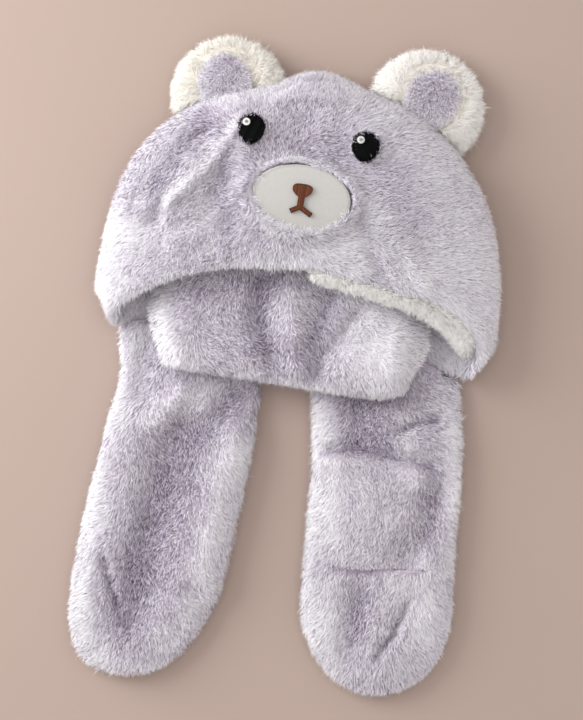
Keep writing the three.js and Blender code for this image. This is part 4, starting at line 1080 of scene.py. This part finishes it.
# The last number paints each ear against the window's light: painted shade on the left ear, which the window lights
# strongly, and painted light on the right ear, which lies in more shade.
round_ear("left_ear", "left_ear_pad", "left_ear", LEFT_EAR_REACH, 51, -0.4)
round_ear("right_ear", "right_ear_pad", "right_ear", RIGHT_EAR_REACH, 61, 0.4)


# White lining rolled out at the rim

roll = cloth_of("lining_roll", "lining_roll_skin", voxel=1.6 * MM, smooth=8)
reach_out(roll, ROLL_REACH)
sink(roll, 1.2 * MM)
roll.data.materials.append(WHITE_BACKING)
worn_by(roll, "white_plush", "lining_roll")
roots, normals = roots_on(roll, 14000, 71, visible_share, np.ones(len(roll.data.vertices)))
add_pile("lining_roll_pile", roots, normals, brushed_out(roots, normals, ROLL_NAP), 72, ROLL_PILE, "white_plush",
         length=9.0 * MM, width=0.36 * MM, lift=42.0, lock=3.0 * MM, paler=0.1)


# Embroidered face

for node, material in (
    ("left_eye", BLACK_PADDING), ("right_eye", BLACK_PADDING), ("left_eye_glint", WHITE_PADDING),
    ("right_eye_glint", WHITE_PADDING), ("muzzle_patch", MUZZLE_FELT), ("nose_and_mouth", BROWN_PADDING),
):
    for place in NODES[node].material_slots:
        place.material = material

for node, angle, seed in (("left_eye", 62, 81), ("right_eye", 118, 82)):
    stitches = satin(node, node + "_stitches", angle, 0.5 * MM, 2.3 * MM, seed)
    stitches.data.materials.append(BLACK_THREAD)
    worn_by(stitches, "black_thread")


def spikes(node, name, count, seed):
    """Short ends of black thread that stand out all round an eye."""
    rng = np.random.default_rng(seed)
    middle, edge, height = ROUND_FACE[node]
    paths = []
    for number in np.sort(rng.integers(0, len(edge), count)):
        outward = unit(edge[number] - middle)
        start = edge[number] - outward * 1.6 * MM
        top = height(*start)
        if top is None:
            continue
        turn = rng.normal() * 0.45
        way = outward + turn * np.array([-outward[1], outward[0]])
        end = start + way * rng.uniform(1.5, 2.8) * MM
        half = (start + end) / 2
        paths.append([(*start, top.z), (*half, top.z + 0.3 * MM), (*end, top.z - 0.1 * MM)])
    return threads(name, paths, 0.24 * MM, seed)


for node, seed in (("left_eye", 86), ("right_eye", 87)):
    ends = spikes(node, node + "_thread_ends", 84, seed)
    ends.data.materials.append(BLACK_THREAD)
    worn_by(ends, "black_thread")

nose = satin("nose_and_mouth", "nose_stitches", 81, 0.5 * MM, -0.7 * MM, 83)
nose.data.materials.append(BROWN_THREAD)
worn_by(nose, "brown_thread")


def ring(node, radius, rise):
    """A closed round of thread laid on a node, at a share of its radius."""
    middle, edge, height = outline_of(node, 28)
    spots = middle + (edge - middle) * radius
    path = [tuple(height(*spot)) for spot in np.vstack([spots, spots[:2]])]
    return np.array(path) + (0, 0, rise)


for node, seed in (("left_eye_glint", 84), ("right_eye_glint", 85)):
    white = threads(node + "_ring", [ring(node, 0.86, 0.1 * MM), ring(node, 0.62, 0.16 * MM)], 0.3 * MM, seed)
    white.data.materials.append(WHITE_THREAD)
    worn_by(white, "white_thread")
    grey = threads(node + "_middle", [ring(node, 0.36, 0.08 * MM), ring(node, 0.12, 0.1 * MM)], 0.3 * MM, seed + 2)
    grey.data.materials.append(GREY_THREAD)
    worn_by(grey, "white_thread")


def along_muzzle(share, first, last, rise):
    """A path on the muzzle patch at a share of its radius, between two angles in degrees."""
    middle, edge, height = ROUND_FACE["muzzle_patch"]
    step = 360 / len(edge)
    path = []
    for number in range(math.floor(first / step), math.ceil(last / step) + 1):
        spot = middle + (edge[number % len(edge)] - middle) * share
        top = height(*spot)
        path.append((spot[0], spot[1], top.z + rise))
    return path


# The dark thread along the patch's upper edge is partly its stitched outline, partly a painted shadow where the
# felt meets the fur.
outline = threads("muzzle_outline_and_shadow", [along_muzzle(0.99, -34, 118, 0.1 * MM)], 0.28 * MM, 88)
outline.data.materials.append(OUTLINE_THREAD_AND_SHADOW)
worn_by(outline, "muzzle_felt")
dashes = [along_muzzle(0.93, angle, angle + 4.5, 0.02 * MM) for angle in range(0, 360, 6)]
dashes = threads("muzzle_stitches", dashes, 0.16 * MM, 89)
dashes.data.materials.append(MUZZLE_THREAD)
worn_by(dashes, "muzzle_felt")

# Pile that leans over the edges of the eyes and the lower edge of the muzzle patch
hood_tree = tree_of(hood)


def edge_pile(node, name, count, seed, first, last, length, lean, paler=0.0):
    """Strands that grow just outside a face piece, between two angles in degrees, and lean over its edge.
    They start in the pile no lower than the edge, so that they come over it."""
    rng = np.random.default_rng(seed)
    middle, edge, height = ROUND_FACE[node]
    angle = (first + (last - first) * rng.beta(1.6, 1.6, count)) / 360 * len(edge)
    number = np.floor(angle).astype(int)
    part = (angle - number)[:, None]
    spots = edge[number % len(edge)] * (1 - part) + edge[(number + 1) % len(edge)] * part
    outward = unit(spots - middle)
    spots = spots + outward * rng.uniform(0.2 * MM, 3.0 * MM, (count, 1))
    roots, normals = [], []
    for spot in spots:
        place, facing, _, _ = hood_tree.ray_cast(Vector((*spot, 0.3)), Vector((0, 0, -1)))
        rim = height(*(middle + (spot - middle) * 0.88))
        if rim is not None:
            place.z = max(place.z, rim.z - 0.9 * MM)
        roots.append(place)
        normals.append(facing)
    roots, normals = np.array(roots), np.array(normals)
    lean = lean * rng.uniform(0.5, 1.25, (count, 1))
    way = unit(-outward * lean + nap_at(roots, HOOD_NAP)[0] * (1 - lean))
    add_pile(name, roots, normals, (way, np.full(count, 0.4)), seed + 1, LILAC_PILE, "lilac_plush",
             length=length, width=0.34 * MM, lift=34.0, paler=paler)


edge_pile("left_eye", "left_eye_edge_pile", 420, 91, 0, 360, 5.2 * MM, 0.75)
edge_pile("right_eye", "right_eye_edge_pile", 420, 93, 0, 360, 5.2 * MM, 0.75)
edge_pile("muzzle_patch", "muzzle_edge_pile", 4500, 95, 150, 340, 8.5 * MM, 0.75, 0.1)
edge_pile("muzzle_patch", "muzzle_upper_pile", 2400, 97, -24, 170, 4.5 * MM, 0.05)


# Floor, light and camera

bpy.ops.object.select_all(action="DESELECT")
bpy.ops.mesh.primitive_plane_add(size=8, location=(0, 0, 0))
floor = bpy.context.object
floor.name = "floor"
floor.data.materials.append(floor_material())


def lamp(name, size, power, place, aim, colour):
    bpy.ops.object.light_add(type="AREA", location=place)
    light = bpy.context.object
    light.name = name
    light.data.shape = "RECTANGLE"
    light.data.size, light.data.size_y = size
    light.data.energy = power
    light.data.color = colour
    light.rotation_euler = (Vector(aim) - Vector(place)).to_track_quat("-Z", "Y").to_euler()
    return light


lamp("window", (0.8, 1.0), 16.8, (-1.0, 0.5, 0.52), (0, 0, 0), (0.98, 0.99, 1.0))
lamp("overhead", (2.2, 2.2), 11.5, (0.2, 0.2, 2.4), (0, 0, 0), (1.0, 0.97, 0.95))
world = bpy.data.worlds.new("studio")
scene.world = world
world.use_nodes = True
world.node_tree.nodes["Background"].inputs["Color"].default_value = (1.0, 0.96, 0.95, 1)
world.node_tree.nodes["Background"].inputs["Strength"].default_value = 0.71
scene.view_settings.view_transform = "Standard"

bpy.ops.object.camera_add(location=(0.00594, 0.00371, 1.3), rotation=(0, 0, 0))
camera = bpy.context.object
camera.data.sensor_width = 36
camera.data.lens = 91.07
camera.data.clip_end = 20
scene.camera = camera
